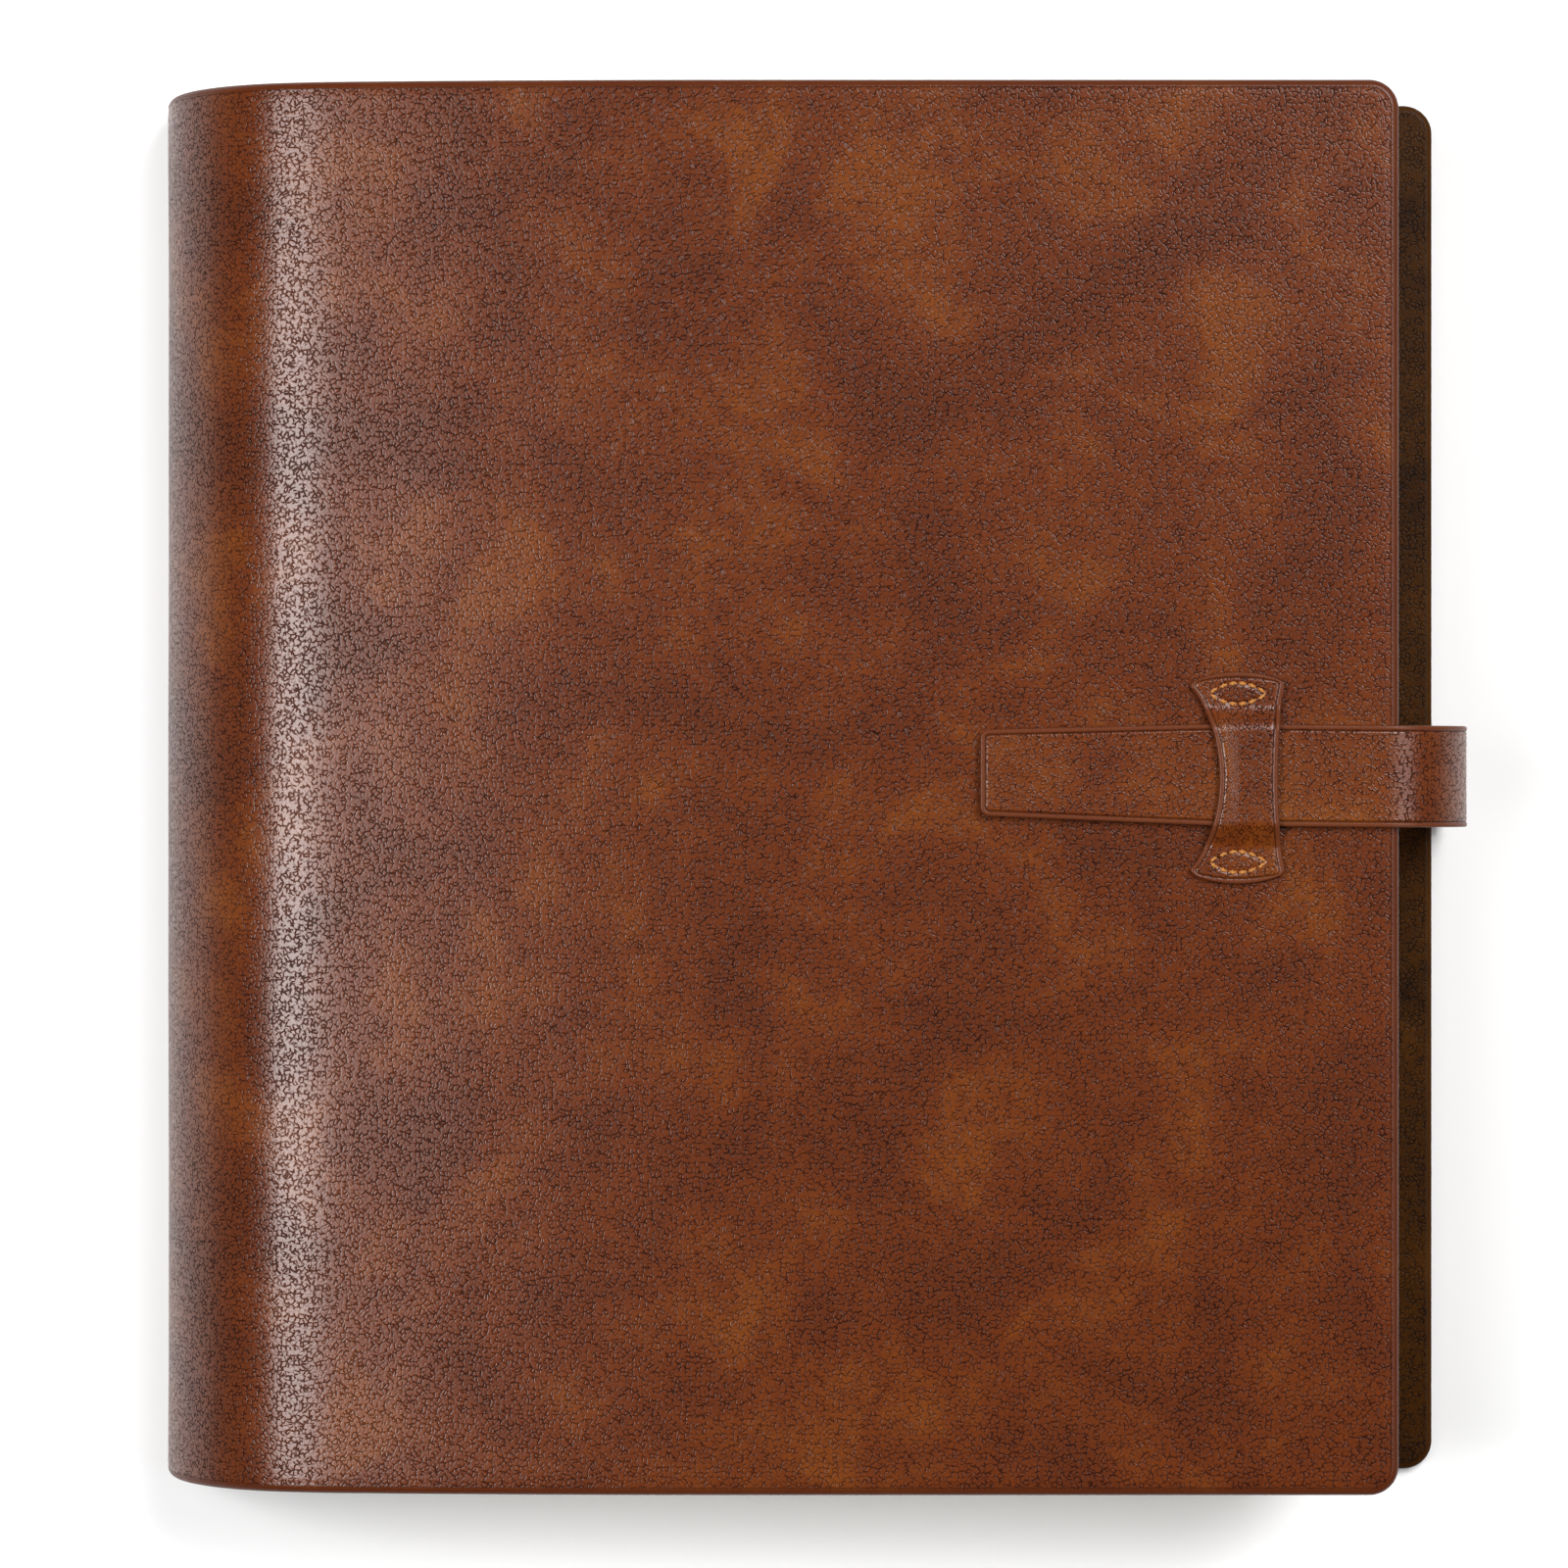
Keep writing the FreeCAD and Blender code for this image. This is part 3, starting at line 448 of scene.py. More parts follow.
def rolled_card(name, light, dark, fibre_mm):
    """Uncoated card: matt, faintly flecked with fibres."""
    material, tree, shader = blank(name)
    place = add(tree, "ShaderNodeTexCoord").outputs["Object"]
    # fibres lie along the leaf's height, and are drawn coarser than real ones so that they show
    stretched = add(tree, "ShaderNodeMapping", {"Scale": (1.0, 0.35, 1.0)}, {"Vector": place})
    fleck = add(tree, "ShaderNodeTexNoise", {"Scale": 1 / (fibre_mm * MM), "Detail": 4.0},
                {"Vector": stretched.outputs[0]}).outputs["Fac"]
    cloud = add(tree, "ShaderNodeTexNoise", {"Scale": 1 / (60 * MM), "Detail": 3.0},
                {"Vector": place}).outputs["Fac"]
    body = tint(tree, ramp(tree, fleck, 0.35, 0.68), dark, light)
    body = tint(tree, ramp(tree, cloud, 0.3, 0.7, 0.0, 0.22), body, dark)
    bump = add(tree, "ShaderNodeBump", {"Strength": 0.35, "Distance": 0.05 * MM}, {"Height": fleck})
    tree.links.new(body, shader.inputs["Base Color"])
    tree.links.new(ramp(tree, fleck, 0.3, 0.7, 0.78, 0.92), shader.inputs["Roughness"])
    tree.links.new(bump.outputs[0], shader.inputs["Normal"])
    return material


def plated_steel(name):
    """Bright nickel plate over drawn steel: fine draw lines and faint haze from handling."""
    material, tree, shader = blank(name)
    place = add(tree, "ShaderNodeTexCoord").outputs["Object"]
    # draw lines a third of a millimetre apart, drawn coarser than real ones so that they show
    stretched = add(tree, "ShaderNodeMapping", {"Scale": (1.0, 0.04, 1.0)}, {"Vector": place})
    lines = add(tree, "ShaderNodeTexNoise", {"Scale": 1 / (0.35 * MM), "Detail": 2.0},
                {"Vector": stretched.outputs[0]}).outputs["Fac"]
    haze = add(tree, "ShaderNodeTexNoise", {"Scale": 1 / (14 * MM), "Detail": 4.0},
               {"Vector": place}).outputs["Fac"]
    rough = sums(tree, "ADD", ramp(tree, lines, 0.3, 0.7, 0.12, 0.2),
                 ramp(tree, haze, 0.4, 0.7, 0.0, 0.14))
    bump = add(tree, "ShaderNodeBump", {"Strength": 0.12, "Distance": 0.02 * MM}, {"Height": lines})
    body = tint(tree, ramp(tree, haze, 0.35, 0.7), colour("#D6D0C6"), colour("#BDB6AA"))
    shader.inputs["Metallic"].default_value = 1.0
    tree.links.new(body, shader.inputs["Base Color"])
    tree.links.new(rough, shader.inputs["Roughness"])
    tree.links.new(bump.outputs[0], shader.inputs["Normal"])
    return material


# waxed and rolled hide: rich brown with lighter clouds and a soft sheen on its pebbles
COVER_LEATHER = pull_up_leather(
    "pull_up_leather_cover", colour("#522207"), colour("#5C2706"), colour("#6B3408"),
    colour("#1C0500"), colour("#4A2210"), rim_wide=1.5, rim_share=0.7)
# the same hide cut narrow and creased: finer grain and a burnished, paler rim
STRAP_LEATHER = pull_up_leather(
    "pull_up_leather_strap", colour("#582508"), colour("#632D08"), colour("#70390C"),
    colour("#1C0500"), colour("#5A2E1A"), grain=0.95, rim_wide=0.95, coat=0.7, rim_share=0.9)
# the hide's edge pared thin and turned in: dark brown and nearly without sheen
BORDER_LEATHER = pull_up_leather(
    "turned_in_leather_border", colour("#2C1502"), colour("#3C2002"), colour("#472704"),
    colour("#0C0400"), colour("#3C2002"), coat=0.06, rim_share=0.3)
# split leather, dyed and pasted down: dark, fine grained and dull
LINING = pull_up_leather(
    "plain_lining_leather", colour("#2A1402"), colour("#361C02"), colour("#402304"),
    colour("#0E0500"), colour("#361C02"), grain=0.8, coat=0.06, rim_share=0.3)
# twisted and waxed linen: amber, with a little fuzz that catches the light
THREAD = spun_thread("waxed_linen_thread")
# uncoated card off the calender: cream, matt, with faint fibre flecks
LEAF_CARD = rolled_card("uncoated_leaf_card", colour("#E6DAC2"), colour("#CDBEA1"), 0.7)
# waste paper board, pressed: grey and coarse flecked
GREY_BOARD = rolled_card("pressed_grey_board", colour("#8F8779"), colour("#6F685C"), 1.4)
# drawn steel, nickel plated: bright, with fine draw lines and a little handling haze
NICKEL = plated_steel("nickel_plated_steel")

# --------------------------------------------------------------------- cover hide

EDGE_ROUND = COVER_THICK / 2
HIDE_RINGS = [CORNER_R, 5.2, 4.2, 3.3, 2.6, 2.1, 1.75, 1.45, 1.15, 0.85, 0.6, 0.38, 0.2, 0.07, 0.0]
INNER_STEP = 0.35       # how far the turned-in leather lies under the lining's face
# the hide and the lining are cut here, so that each piece has one fold in it
SEAMS = [(MARKS[2] + MARKS[3]) / 2,
         (3 * MARKS[3] + MARKS[4]) / 4,
         (MARKS[3] + 3 * MARKS[4]) / 4,
         (MARKS[4] + MARKS[5]) / 2]


def hide_columns(start, end):
    """Places of the grid lines along the hide, closer where the spine bends."""
    spots = [start] + [mark for mark in MARKS[1:-1]] + SEAMS + [end]
    spots = sorted(set(spot for spot in spots if start <= spot <= end))
    columns = [start]
    for low, high in zip(spots, spots[1:]):
        bends = MARKS[1] - 8 <= low and high <= MARKS[5] + 1
        columns += steps_between(low, high, 1.1 if bends else 3.0)[1:]
    return columns


def on_hide(s, w, depth):
    """x, y, z of points s along the hide, w across it and depth under its outside."""
    lookup = {value: outside(value) for value in np.unique(s)}
    x, z = np.zeros_like(s), np.zeros_like(s)
    for index in np.ndindex(s.shape):
        point, inward = lookup[s[index]]
        x[index] = point[0] + inward[0] * depth[index]
        z[index] = point[1] + inward[1] * depth[index]
    return x, w, z


def round_over(rim, radius):
    """How far a rounded edge has dropped at a distance from the rim."""
    near = np.clip(radius - rim, 0, radius)
    return radius - np.sqrt(radius ** 2 - near ** 2)


def hide_outside(rim, s, w):
    """Outer face: rounded rim, a faint valley inside it, and slow unevenness."""
    valley = 0.06 * np.exp(-((rim - 2.0) / 0.4) ** 2)
    lying = s < MARKS[1] - 2
    wave = np.clip((rim - 4) / 20, 0, 1) * 0.10 * (1 + ripple(s, w, 3))
    return round_over(rim, EDGE_ROUND) + valley + np.where(lying, 0.0, wave)


def hide_inside(rim, s, w):
    """Turned-in leather on the inner face, just below the lining."""
    return COVER_THICK - INNER_STEP - round_over(rim, EDGE_ROUND - INNER_STEP / 2) * (
        (COVER_THICK - INNER_STEP - EDGE_ROUND) / (EDGE_ROUND - INNER_STEP / 2))


FOLDS = [("cover_open", "back_cover", "spine_wall", 8.5, 6.5),
         ("spine_fold_1", "spine_wall", "shoulder_1", 5.5, 3.2),
         ("spine_fold_2", "shoulder_1", "shoulder_2", 7.0, 7.0),
         ("spine_fold_3", "shoulder_2", "shoulder_3", 3.2, 4.5),
         ("spine_fold_4", "shoulder_3", "front_cover", 4.5, 9.0)]


def bend_over_folds(pieces):
    """Bake each piece's placement into its mesh, one piece for each fold."""
    for piece, (joint, before_body, after_body, before, after) in zip(pieces, FOLDS):
        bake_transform(piece)


def cover_hide():
    """One hide from the back cover's fore edge round the spine to the front's, in five pieces."""
    columns = hide_columns(CORNER_R, HIDE_LONG - CORNER_R)
    pad = Pad(columns, HALF_HIGH, 3.0, HIDE_RINGS, True, True)
    pieces = pad.build("cover_hide", on_hide, hide_outside, hide_inside, SEAMS)
    bend_over_folds(pieces)
    replaced = [["back_leather"], ["spine_wall_leather", "shoulder_1_leather"],
                ["shoulder_2_leather"], ["shoulder_3_leather"], ["front_leather"]]
    for piece, nodes in zip(pieces, replaced):
        dress(piece, COVER_LEATHER, BORDER_LEATHER)
        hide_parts(*nodes)


LINING_INSET = 15.0     # border of turned-in leather that shows round the lining
LINING_CORNER = 4.0
LINING_RINGS = [LINING_CORNER, 2.8, 1.8, 1.0, 0.5, 0.25, 0.1, 0.0]
LINING_THICK = 0.55


def lining_panel():
    """Lining glued inside both covers and the spine, over the turned-in border."""
    start = LINING_INSET + LINING_CORNER
    pad = Pad(hide_columns(start, HIDE_LONG - start), HALF_HIGH - LINING_INSET, 4.0,
              LINING_RINGS, True, True)
    round_edge = LINING_THICK / 2

    def face(rim, s, w):
        return COVER_THICK - round_over(rim, round_edge)

    def back(rim, s, w):
        return COVER_THICK - LINING_THICK + round_over(rim, round_edge)

    pieces = pad.build("lining_panel", on_hide, back, face, SEAMS)
    bend_over_folds(pieces)
    replaced = [["back_lining"], ["spine_wall_lining", "shoulder_1_lining"],
                ["shoulder_2_lining"], ["shoulder_3_lining"], ["front_lining"]]
    for piece, nodes in zip(pieces, replaced):
        dress(piece, LINING, LINING)
        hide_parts(*nodes)


# --------------------------------------------------------------- strap and keeper

STRAP_THICK = TONGUE_HIGH[2] - TONGUE_LOW[2]
STRAP_HALF = (TONGUE_HIGH[1] - TONGUE_LOW[1]) / 2
STRAP_Y = (TONGUE_HIGH[1] + TONGUE_LOW[1]) / 2
STRAP_OUT_X = cad_box[1][0] / MM - STRAP_THICK / 2
STRAP_LOW_Z = reach("strap_tail")[0][2] + STRAP_THICK / 2
STRAP_TOP_Z = TONGUE_HIGH[2] - STRAP_THICK / 2
TIP_X = TONGUE_LOW[0]
STRAP_FOOT_R = 3.0
STRAP_LOOP_R = STRAP_OUT_X - pivot("strap_unbend_top")[0]
STRAP_ROOT_X = BACK_EDGE - 14.0
TIP_HALF = 9.05         # half of the strap's width at its free end
TAPER = 50.0            # length over which it narrows to that
STRAP_RINGS = [1.9, 1.65, 1.45, 1.3, 1.18, 1.06, 0.94, 0.8, 0.65, 0.5, 0.36, 0.24, 0.13, 0.04, 0.0]

TAIL_RUN = STRAP_OUT_X - STRAP_FOOT_R - STRAP_ROOT_X
FOOT_RUN = STRAP_FOOT_R * math.pi / 2
RISER_RUN = STRAP_TOP_Z - STRAP_LOOP_R - STRAP_LOW_Z - STRAP_FOOT_R
LOOP_RUN = STRAP_LOOP_R * math.pi / 2
TONGUE_RUN = STRAP_OUT_X - STRAP_LOOP_R - TIP_X
SHOW_EDGE_R = 0.42      # rounding of the strap's edges, on its show face and its hidden one
FLESH_EDGE_R = 0.3
CREASE_IN = 1.15        # pressed crease of the strap and the keeper, in from the edge
TIP_DRIFT = 0.8         # how far the free end lies towards the head
STRAP_MARKS = np.cumsum([0.0, TAIL_RUN, FOOT_RUN, RISER_RUN, LOOP_RUN, TONGUE_RUN])


def strap_line(s):
    """Middle of the strap (x, z) and the unit way to its outer face, s along it."""
    tail, foot, riser, loop, _ = STRAP_MARKS[1:]
    if s <= tail:
        return (STRAP_ROOT_X + s, STRAP_LOW_Z), (0.0, -1.0)
    if s <= foot:
        angle = (s - tail) / STRAP_FOOT_R
        return (STRAP_OUT_X - STRAP_FOOT_R + STRAP_FOOT_R * math.sin(angle),
                STRAP_LOW_Z + STRAP_FOOT_R * (1 - math.cos(angle))), \
            (math.sin(angle), -math.cos(angle))
    if s <= riser:
        return (STRAP_OUT_X, STRAP_LOW_Z + STRAP_FOOT_R + s - foot), (1.0, 0.0)
    if s <= loop:
        angle = (s - riser) / STRAP_LOOP_R
        return (STRAP_OUT_X - STRAP_LOOP_R * (1 - math.cos(angle)),
                STRAP_TOP_Z - STRAP_LOOP_R * (1 - math.sin(angle))), \
            (math.cos(angle), math.sin(angle))
    return (STRAP_OUT_X - STRAP_LOOP_R - (s - loop), STRAP_TOP_Z), (0.0, 1.0)


def creased_face(rim, s, w):
    """Strap's show face: a rounded rim, a pressed crease inside it, a low crowned middle."""
    rounded = round_over(rim, SHOW_EDGE_R)
    crease = 0.26 * np.exp(-((rim - CREASE_IN) / 0.20) ** 2)
    middle = 0.10 * np.clip((rim - 1.1) / 0.6, 0, 1)
    return rounded + crease + middle


def flesh_face(rim, s, w):
    """Strap's hidden face: flat, with a small rounded edge."""
    return STRAP_THICK - round_over(rim, FLESH_EDGE_R)


def strap():
    """The strap as one run, cut into four pieces that each hold one fold."""
    edge_round = STRAP_RINGS[0]
    spots = list(STRAP_MARKS[:-1]) + [STRAP_MARKS[-1] - edge_round]
    cuts = [(STRAP_MARKS[2] + STRAP_MARKS[3]) / 2, STRAP_MARKS[3] + LOOP_RUN / 4,
            STRAP_MARKS[3] + 3 * LOOP_RUN / 4]
    spots = sorted(spots + cuts)
    columns = [spots[0]]
    for low, high in zip(spots, spots[1:]):
        columns += steps_between(low, high, 0.7)[1:]
    pad = Pad(columns, STRAP_HALF, 0.7, STRAP_RINGS, False, True)

    def place(s, w, depth):
        x, z = np.zeros_like(s), np.zeros_like(s)
        for index in np.ndindex(s.shape):
            (px, pz), (ox, oz) = strap_line(s[index])
            lift = STRAP_THICK / 2 - depth[index]
            x[index] = px + ox * lift
            z[index] = pz + oz * lift
        to_tip = np.clip((STRAP_MARKS[-1] - s) / TAPER, 0, 1)
        narrow = (STRAP_HALF - TIP_HALF) * (1 - to_tip)
        inner = STRAP_HALF - edge_round
        y = np.sign(w) * (np.abs(w) - narrow * np.minimum(1, np.abs(w) / inner))
        drift = TIP_DRIFT * np.clip((s - STRAP_MARKS[4]) / TONGUE_RUN, 0, 1)
        return x, y + STRAP_Y + drift, z

    pieces = pad.build("strap_hide", place, creased_face, flesh_face, cuts)
    folds = [("back_cover", "strap_riser", STRAP_MARKS[1] - 1.5, STRAP_MARKS[2] + 3.0),
             ("strap_riser", "strap_bend_lower", STRAP_MARKS[3], cuts[1]),
             ("strap_bend_lower", "strap_bend_upper", cuts[1], cuts[2]),
             ("strap_bend_upper", "strap_tongue", cuts[2], STRAP_MARKS[4])]
    replaced = [["strap_tail", "strap_riser"], ["strap_bend_lower"], ["strap_bend_upper"],
                ["strap_tongue"]]
    for piece, (before, after, start, end), nodes in zip(pieces, folds, replaced):
        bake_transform(piece)
        dress(piece, STRAP_LEATHER, STRAP_LEATHER)
        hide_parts(*nodes)


KEEPER_MID = (KEEPER_LOW + KEEPER_HIGH) / 2
KEEPER_HALF_LONG = (KEEPER_HIGH[1] - KEEPER_LOW[1]) / 2
KEEPER_HALF_WIDE = (KEEPER_HIGH[0] - KEEPER_LOW[0]) / 2
KEEPER_THICK = 1.4
KEEPER_RISE = KEEPER_HIGH[2] - TOP_Z - KEEPER_THICK
WAIST_IN_SPINE = 5.9    # how far the waist is drawn in on the spine's side
WAIST_IN_FORE = 1.6     # and on the fore edge's side
FOOT_DOME = 2.0         # how far the corners of each foot are drawn back
KEEPER_RINGS = [2.0, 1.7, 1.5, 1.35, 1.22, 1.1, 0.98, 0.84, 0.7, 0.55, 0.4, 0.27, 0.15, 0.05, 0.0]
STITCH_LOW, STITCH_HIGH = reach("stitches_head")
EYE_HALF = (STITCH_HIGH[0] - STITCH_LOW[0]) / 2
EYE_BULGE = (STITCH_HIGH[1] - STITCH_LOW[1]) / 2 - 0.3
EYE_OUT = (STITCH_LOW[1] + STITCH_HIGH[1]) / 2 - KEEPER_MID[1]


def stitch_groove(s, w):
    """How far the tight thread has pulled the keeper's face down along each eye."""
    share = np.clip(np.abs(w) / EYE_HALF, 0, 1)
    curve = EYE_BULGE * (1 - share ** 2)
    gap = np.abs(np.abs(np.abs(s) - EYE_OUT) - curve) + 3 * np.clip(np.abs(w) - EYE_HALF, 0, 1)
    return 0.26 * np.exp(-(gap / 0.42) ** 2)


def keeper_loop():
    """Dog-bone loop: s runs along the album's height, w towards the fore edge."""
    corner = KEEPER_RINGS[0]
    long_half = KEEPER_HALF_LONG
    columns = steps_between(-long_half + corner, long_half - corner, 0.3)
    pad = Pad(columns, KEEPER_HALF_WIDE, 0.3, KEEPER_RINGS, True, True)
    inner = KEEPER_HALF_WIDE - corner
    arch_out, arch_in = STRAP_HALF + 4.6, STRAP_HALF - 1.2

    def place(s, w, depth):
        along = np.clip(1 - (s / (long_half - 2.6)) ** 2, 0, 1)
        drawn = np.where(w < 0, WAIST_IN_SPINE, WAIST_IN_FORE) * along ** 0.9
        x = np.sign(w) * (np.abs(w) - drawn * np.minimum(1, np.abs(w) / inner))
        dome = FOOT_DOME * (w / KEEPER_HALF_WIDE) ** 2 * np.abs(s / long_half) ** 8
        y = s - np.sign(s) * dome
        t = np.clip((arch_out - np.abs(y + KEEPER_MID[1] - STRAP_Y)) / (arch_out - arch_in), 0, 1)
        lift = KEEPER_RISE * t * t * (3 - 2 * t)
        z = TOP_Z + 0.02 + lift + KEEPER_THICK - depth
        return x + KEEPER_MID[0], y + KEEPER_MID[1], z

    def face(rim, s, w):
        crease = 0.16 * np.exp(-((rim - CREASE_IN) / 0.25) ** 2)
        return round_over(rim, 0.5) + crease + stitch_groove(s, w)

    def back(rim, s, w):
        return KEEPER_THICK - round_over(rim, FLESH_EDGE_R)

    piece = pad.build("keeper_loop", place, face, back)[0]
    piece.data.flip_normals()
    dress(piece, STRAP_LEATHER, STRAP_LEATHER)
    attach(piece, "front_cover")
    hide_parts("keeper")


def eye_of_stitches(name, node):
    """Twisted stitches set along the two curves of an eye, each dipping into the leather."""
    low, high = reach(node)
    middle = (low + high) / 2
    half_long = (high[0] - low[0]) / 2
    bulge = (high[1] - low[1]) / 2 - 0.3
    top = TOP_Z + KEEPER_THICK
    verts, faces = [], []
    per_side, turns, sides = 6, 11, 7
    for edge in (-1, 1):
        for index in range(per_side):
            spread = []
            for share in np.linspace(index + 0.10, index + 0.90, turns):
                x = half_long * (2 * share / per_side - 1)
                spread.append((x, edge * bulge * (1 - (x / half_long) ** 2)))
            for ply in (0, math.pi):
                base = len(verts)
                for number, (x, y) in enumerate(spread):
                    along = number / (turns - 1)
                    arch = math.sin(math.pi * along) ** 0.7
                    twist = ply + along * math.pi * 2.2
                    thick = 0.31 * (0.5 + 0.5 * arch)
                    cx = middle[0] + x
                    cy = middle[1] + y + 0.15 * math.cos(twist)
                    cz = top - 0.40 + 0.42 * arch + 0.14 * math.sin(twist)
                    for side in range(sides):
                        turn = math.tau * side / sides
                        verts.append((cx * MM, (cy + thick * math.cos(turn)) * MM,
                                      (cz + thick * math.sin(turn)) * MM))
                for number in range(turns - 1):
                    for side in range(sides):
                        a = base + number * sides + side
                        b = base + number * sides + (side + 1) % sides
                        faces.append((a, b, b + sides, a + sides))
                faces.append(tuple(base + side for side in reversed(range(sides))))
                last = base + (turns - 1) * sides
                faces.append(tuple(last + side for side in range(sides)))
    mesh = bpy.data.meshes.new(name)
    mesh.from_pydata(verts, [], faces)
    mesh.shade_smooth()
    piece = bpy.data.objects.new(name, mesh)
    bpy.context.scene.collection.objects.link(piece)
    dress(piece, THREAD)
    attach(piece, "front_cover")
    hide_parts(node)


# ------------------------------------------------------------------ punched leaves

RING_X, RING_Z = pivot("leaf_turn_1")[[0, 2]]
RING_LOW = reach("ring_1_left")[0]
WIRE_THICK = 3.0
RING_R = RING_X - RING_LOW[0] - WIRE_THICK / 2
RING_ROWS = [(reach(f"ring_{n}_left")[0][1] + reach(f"ring_{n}_left")[1][1]) / 2 for n in (1, 2, 3)]
LEAF_LOW_BOX, LEAF_HIGH_BOX = reach("leaf_1")
LEAF_WIDE = LEAF_HIGH_BOX[0] - LEAF_LOW_BOX[0]
LEAF_HALF = LEAF_HIGH_BOX[1]
LEAF_THICK = 0.9
LEAF_GAP = 0.05
LEAF_COUNT = 23
LEAF_ROOM = 37.7        # height shared by the leaves at the fore edge
HOLE_INSET = 9.0
HOLE_RADIUS = 4.25
HOLE_PLAY = 1.05        # hole centre outside the wire's centre
LEVEL_RUN = 9.0         # level part beyond the holes, before the leaf bends
BEND_RUN = 52.0         # length of that bend
LEAF_FOOT = COVER_THICK + 0.5
LEAF_FIRST = reach("mechanism_plate")[1][2] + 1.9


LEAF_CORNER = 2.5
HOLE_SIDES = 28
TURNING = 3             # leaves that turn over with the cover


def leaf_pattern():
    """Flat leaf with three punched holes: points from the line of holes, and triangles."""
    corner = LEAF_CORNER
    left, right = -HOLE_INSET, LEAF_WIDE - HOLE_INSET
    columns = steps_between(LEVEL_RUN, LEVEL_RUN + BEND_RUN, 2.6)
    columns += steps_between(LEVEL_RUN + BEND_RUN, right - 2 * corner, 20)[1:]
    outline = []
    for cx, cy, start in ((right - corner, LEAF_HALF - corner, 0),
                          (left + corner, LEAF_HALF - corner, 90),
                          (left + corner, corner - LEAF_HALF, 180),
                          (right - corner, corner - LEAF_HALF, 270)):
        for step in range(6):
            turn = math.radians(start + 18 * step)
            outline.append((cx + corner * math.cos(turn), cy + corner * math.sin(turn)))
        # the long edges follow the bend as closely as the middle of the leaf does
        if start == 0:
            outline += [(x, LEAF_HALF) for x in reversed(columns)]
        if start == 180:
            outline += [(x, -LEAF_HALF) for x in columns]
    points = list(outline)
    loops = [list(range(len(outline)))]
    for row in RING_ROWS:
        loops.append(list(range(len(points), len(points) + HOLE_SIDES)))
        points += [(HOLE_RADIUS * math.cos(math.tau * k / HOLE_SIDES),
                    row + HOLE_RADIUS * math.sin(math.tau * k / HOLE_SIDES))
                   for k in range(HOLE_SIDES)]
    for x in columns:
        points += [(x, y) for y in steps_between(-LEAF_HALF + 4, LEAF_HALF - 4, 22)]
    edges = [(loop[k], loop[(k + 1) % len(loop)]) for loop in loops[1:] for k in range(len(loop))]
    found = delaunay_2d_cdt([Vector(point) for point in points], edges, [loops[0]], 1, 1e-5)
    flat = [tuple(point) for point in found[0]]
    triangles = []
    for triangle in found[2]:
        x = sum(flat[v][0] for v in triangle) / 3
        y = sum(flat[v][1] for v in triangle) / 3
        if all(math.hypot(x, y - row) > HOLE_RADIUS * 0.98 for row in RING_ROWS):
            triangles.append(tuple(triangle))
    return flat, triangles


def leaf_mesh(number, pattern, dice, verts, faces):
    """Add leaf number, counted from the lowest, to the lists of points and faces."""
    flat, triangles = pattern
    at_ring = LEAF_FIRST + number * (LEAF_THICK + LEAF_GAP)
    at_fore = LEAF_FOOT + number * LEAF_ROOM / LEAF_COUNT
    drop = at_ring + LEAF_THICK / 2 - RING_Z
    hole_x = RING_X + math.sqrt(RING_R ** 2 - drop ** 2) + HOLE_PLAY
    slide_x = dice.uniform(-0.25, 0.25)
    slide_y = dice.uniform(-0.5, 0.5)

    def place(x, y, lift):
        t = min(1.0, max(0.0, (x - LEVEL_RUN) / BEND_RUN))
        z = at_ring + (at_fore - at_ring) * t * t * (3 - 2 * t) + lift
        return (hole_x + x + slide_x) * MM, (y + slide_y) * MM, z * MM

    for lift, order in ((LEAF_THICK, 1), (0.0, -1)):
        base = len(verts)
        verts += [place(x, y, lift) for x, y in flat]
        faces += [tuple(base + v for v in triangle[::order]) for triangle in triangles]
    # an edge that no second triangle runs along is an edge of the leaf or of a hole
    rim = {}
    for triangle in triangles:
        for a, b in zip(triangle, triangle[1:] + triangle[:1]):
            if rim.pop((b, a), None) is None:
                rim[a, b] = True
    for a, b in rim:
        base = len(verts)
        verts += [place(*flat[a], 0.0), place(*flat[b], 0.0),
                  place(*flat[b], LEAF_THICK), place(*flat[a], LEAF_THICK)]
        faces.append((base, base + 1, base + 2, base + 3))


def punched_leaves():
    """The resting pile as one piece, and the three leaves that turn over with the cover."""
    pattern = leaf_pattern()
    dice = np.random.default_rng(7)
    groups = [("leaf_pile", "back_cover", "leaf_stack", range(LEAF_COUNT - TURNING))]
    groups += [(f"turned_leaf_{n}", f"leaf_{n}", f"leaf_{n}", [LEAF_COUNT - n])
               for n in range(1, TURNING + 1)]
    for name, body, node, numbers in groups:
        verts, faces = [], []
        for number in numbers:
            leaf_mesh(number, pattern, dice, verts, faces)
        mesh = bpy.data.meshes.new(name)
        mesh.from_pydata(verts, [], faces)
        mesh.shade_smooth()
        piece = bpy.data.objects.new(name, mesh)
        bpy.context.scene.collection.objects.link(piece)
        dress(piece, LEAF_CARD)
        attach(piece, body)
        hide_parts(node)


# ------------------------------------------------------------------ CAD pieces kept


def finish_kept_nodes():
    """Boards and metal keep their CAD shapes and get their materials."""
    for name, thing in NODES.items():
        if name.endswith("board"):
            dress(thing, GREY_BOARD)
        elif name.startswith(("ring", "blade", "lever", "mechanism", "mounting")):
            dress(thing, NICKEL)


# ------------------------------------------------------------------ studio and camera


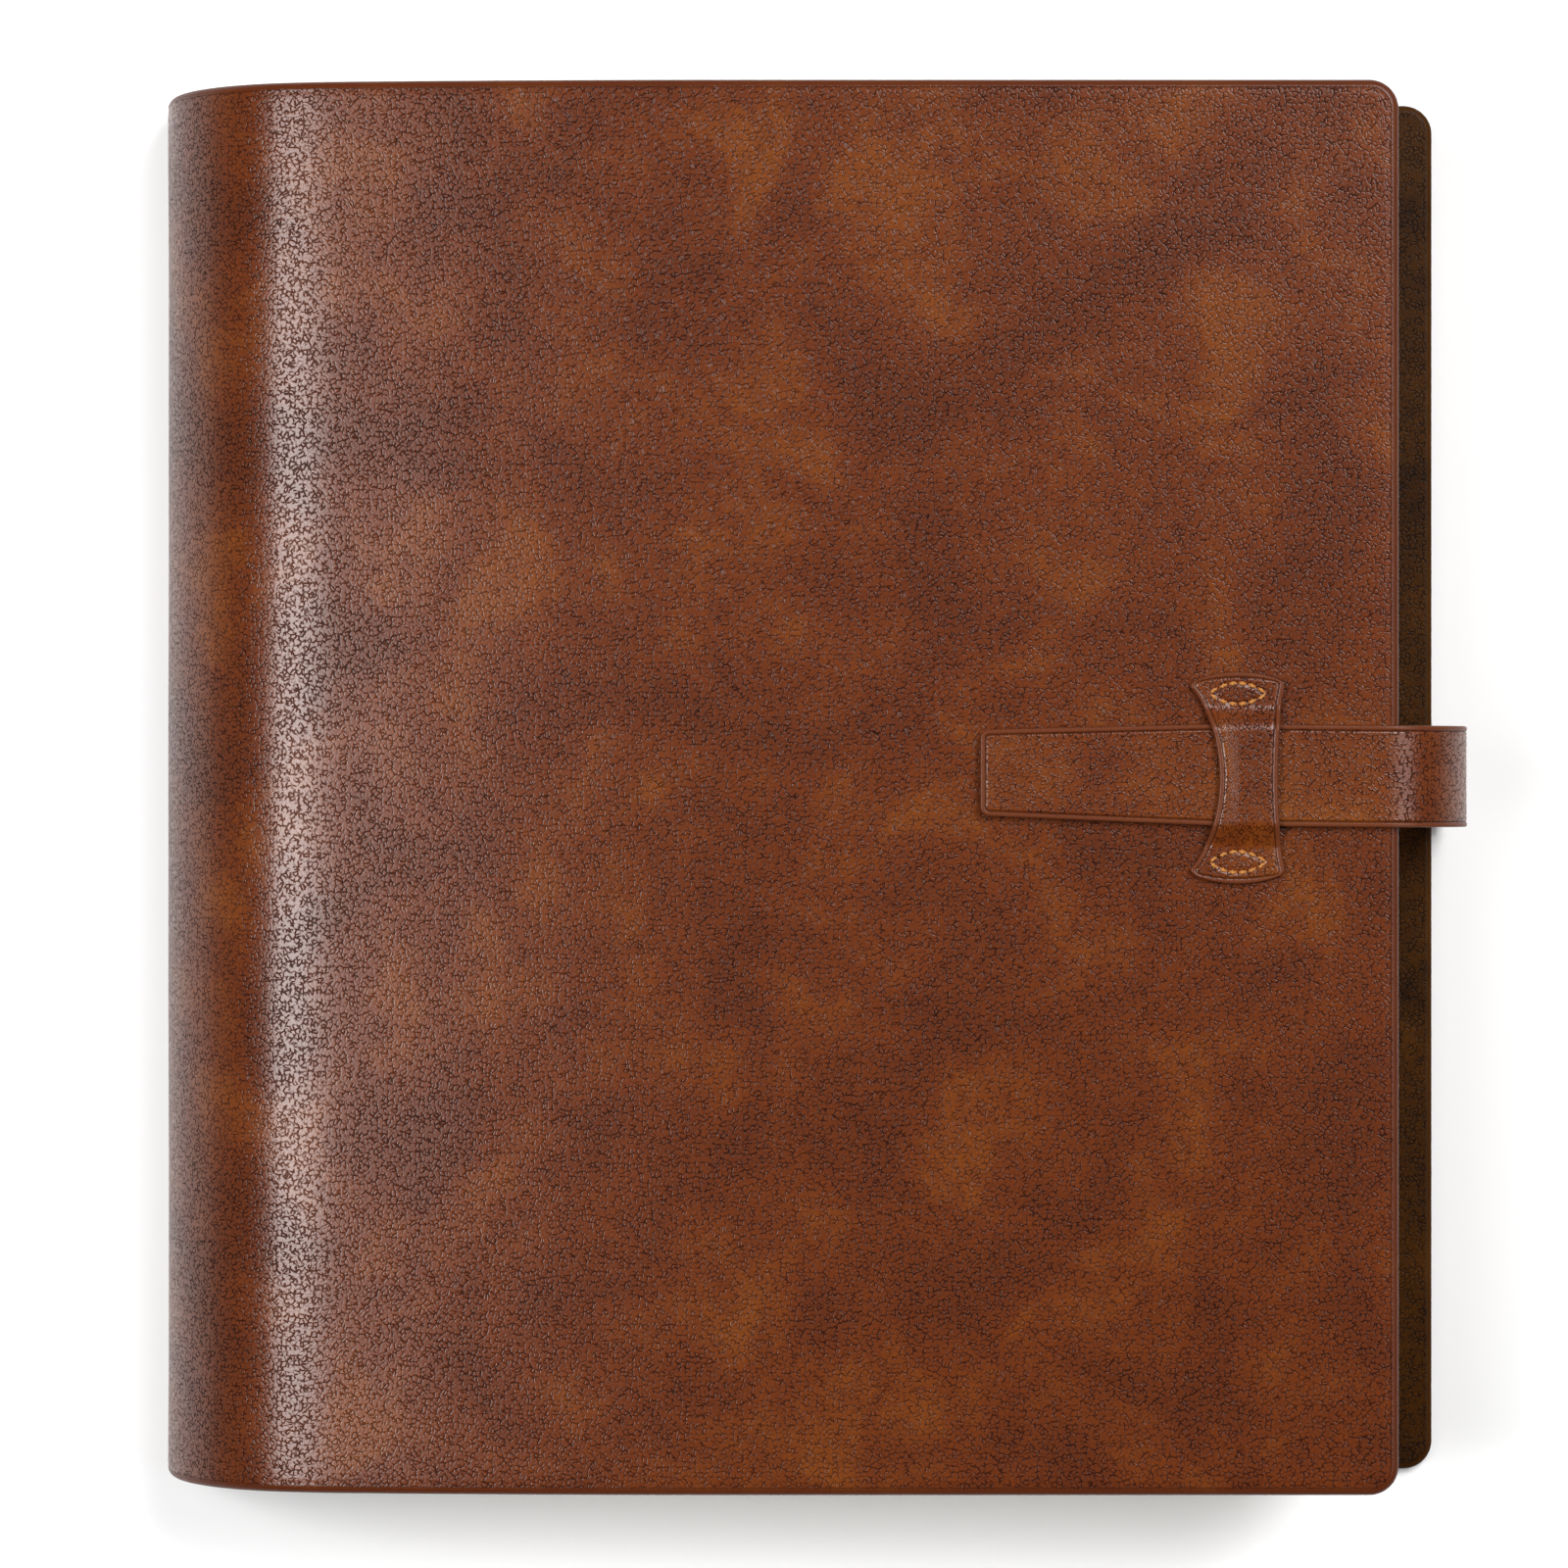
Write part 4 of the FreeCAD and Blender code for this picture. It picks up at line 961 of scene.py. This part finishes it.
def studio():
    """Matt white floor, pale surroundings under a dark ceiling, and four softboxes."""
    floor_mesh = bpy.data.meshes.new("floor")
    half = 3.0
    floor_mesh.from_pydata([(-half, -half, 0), (half, -half, 0), (half, half, 0), (-half, half, 0)],
                           [], [(0, 1, 2, 3)])
    floor = bpy.data.objects.new("floor", floor_mesh)
    floor.location.z = -0.0002
    bpy.context.scene.collection.objects.link(floor)
    material, tree, shader = blank("matt_white_floor")
    shader.inputs["Base Color"].default_value = colour("#F6F6F6")
    shader.inputs["Roughness"].default_value = 0.9
    dress(floor, material)
    world = bpy.data.worlds.new("studio_air")
    world.use_nodes = True
    air = world.node_tree
    sky = add(air, "ShaderNodeTexCoord").outputs["Generated"]
    height = add(air, "ShaderNodeSeparateXYZ", {}, {0: sky}).outputs["Z"]
    # pale walls all round under a dark ceiling
    backdrop = air.nodes["Background"]
    air.links.new(ramp(air, height, 0.0, 0.6, 0.43, 0.03), backdrop.inputs["Strength"])
    backdrop.inputs["Color"].default_value = (1, 1, 1, 1)
    bpy.context.scene.world = world
    # name, degrees from overhead, bearing from the fore edge, distance, width, length, watts
    lamps = [("key_softbox", 37.0, 47.0, 1.9, 1.0, 1.0, 34.0),
             ("fore_softbox", 37.0, 0.0, 1.35, 0.45, 0.8, 3.6),
             ("spine_strip", 34.0, 180.0, 1.35, 0.36, 0.6, 10.5),
             ("spine_softbox", 28.0, 180.0, 1.35, 0.6, 0.8, 6.5)]
    for name, tilt, bearing, far, wide, long, watts in lamps:
        data = bpy.data.lights.new(name, "AREA")
        data.shape = "RECTANGLE"
        data.size, data.size_y = wide, long
        data.energy = watts
        lamp = bpy.data.objects.new(name, data)
        level = far * math.sin(math.radians(tilt))
        lamp.location = (level * math.cos(math.radians(bearing)),
                         level * math.sin(math.radians(bearing)),
                         far * math.cos(math.radians(tilt)))
        lamp.rotation_euler = (0.0, math.radians(tilt), math.radians(bearing))
        bpy.context.scene.collection.objects.link(lamp)


CAMERA_DISTANCE = 1250.0    # from the lens to the front cover, in millimetres
CAMERA_OVER = (-5.75, 0.72)
CAMERA_LENS = 136.5
FILM_WIDE = 36.0


def camera():
    """Straight down on the front cover with a long lens."""
    data = bpy.data.cameras.new("camera")
    data.lens = CAMERA_LENS
    data.sensor_width = FILM_WIDE
    view = bpy.data.objects.new("camera", data)
    view.location = (CAMERA_OVER[0] * MM, CAMERA_OVER[1] * MM, (TOP_Z + CAMERA_DISTANCE) * MM)
    bpy.context.scene.collection.objects.link(view)
    bpy.context.scene.camera = view


cover_hide()
lining_panel()
strap()
keeper_loop()
eye_of_stitches("stitching_head", "stitches_head")
eye_of_stitches("stitching_tail", "stitches_tail")
punched_leaves()
finish_kept_nodes()
studio()
camera()
bpy.context.scene.view_settings.view_transform = "Standard"
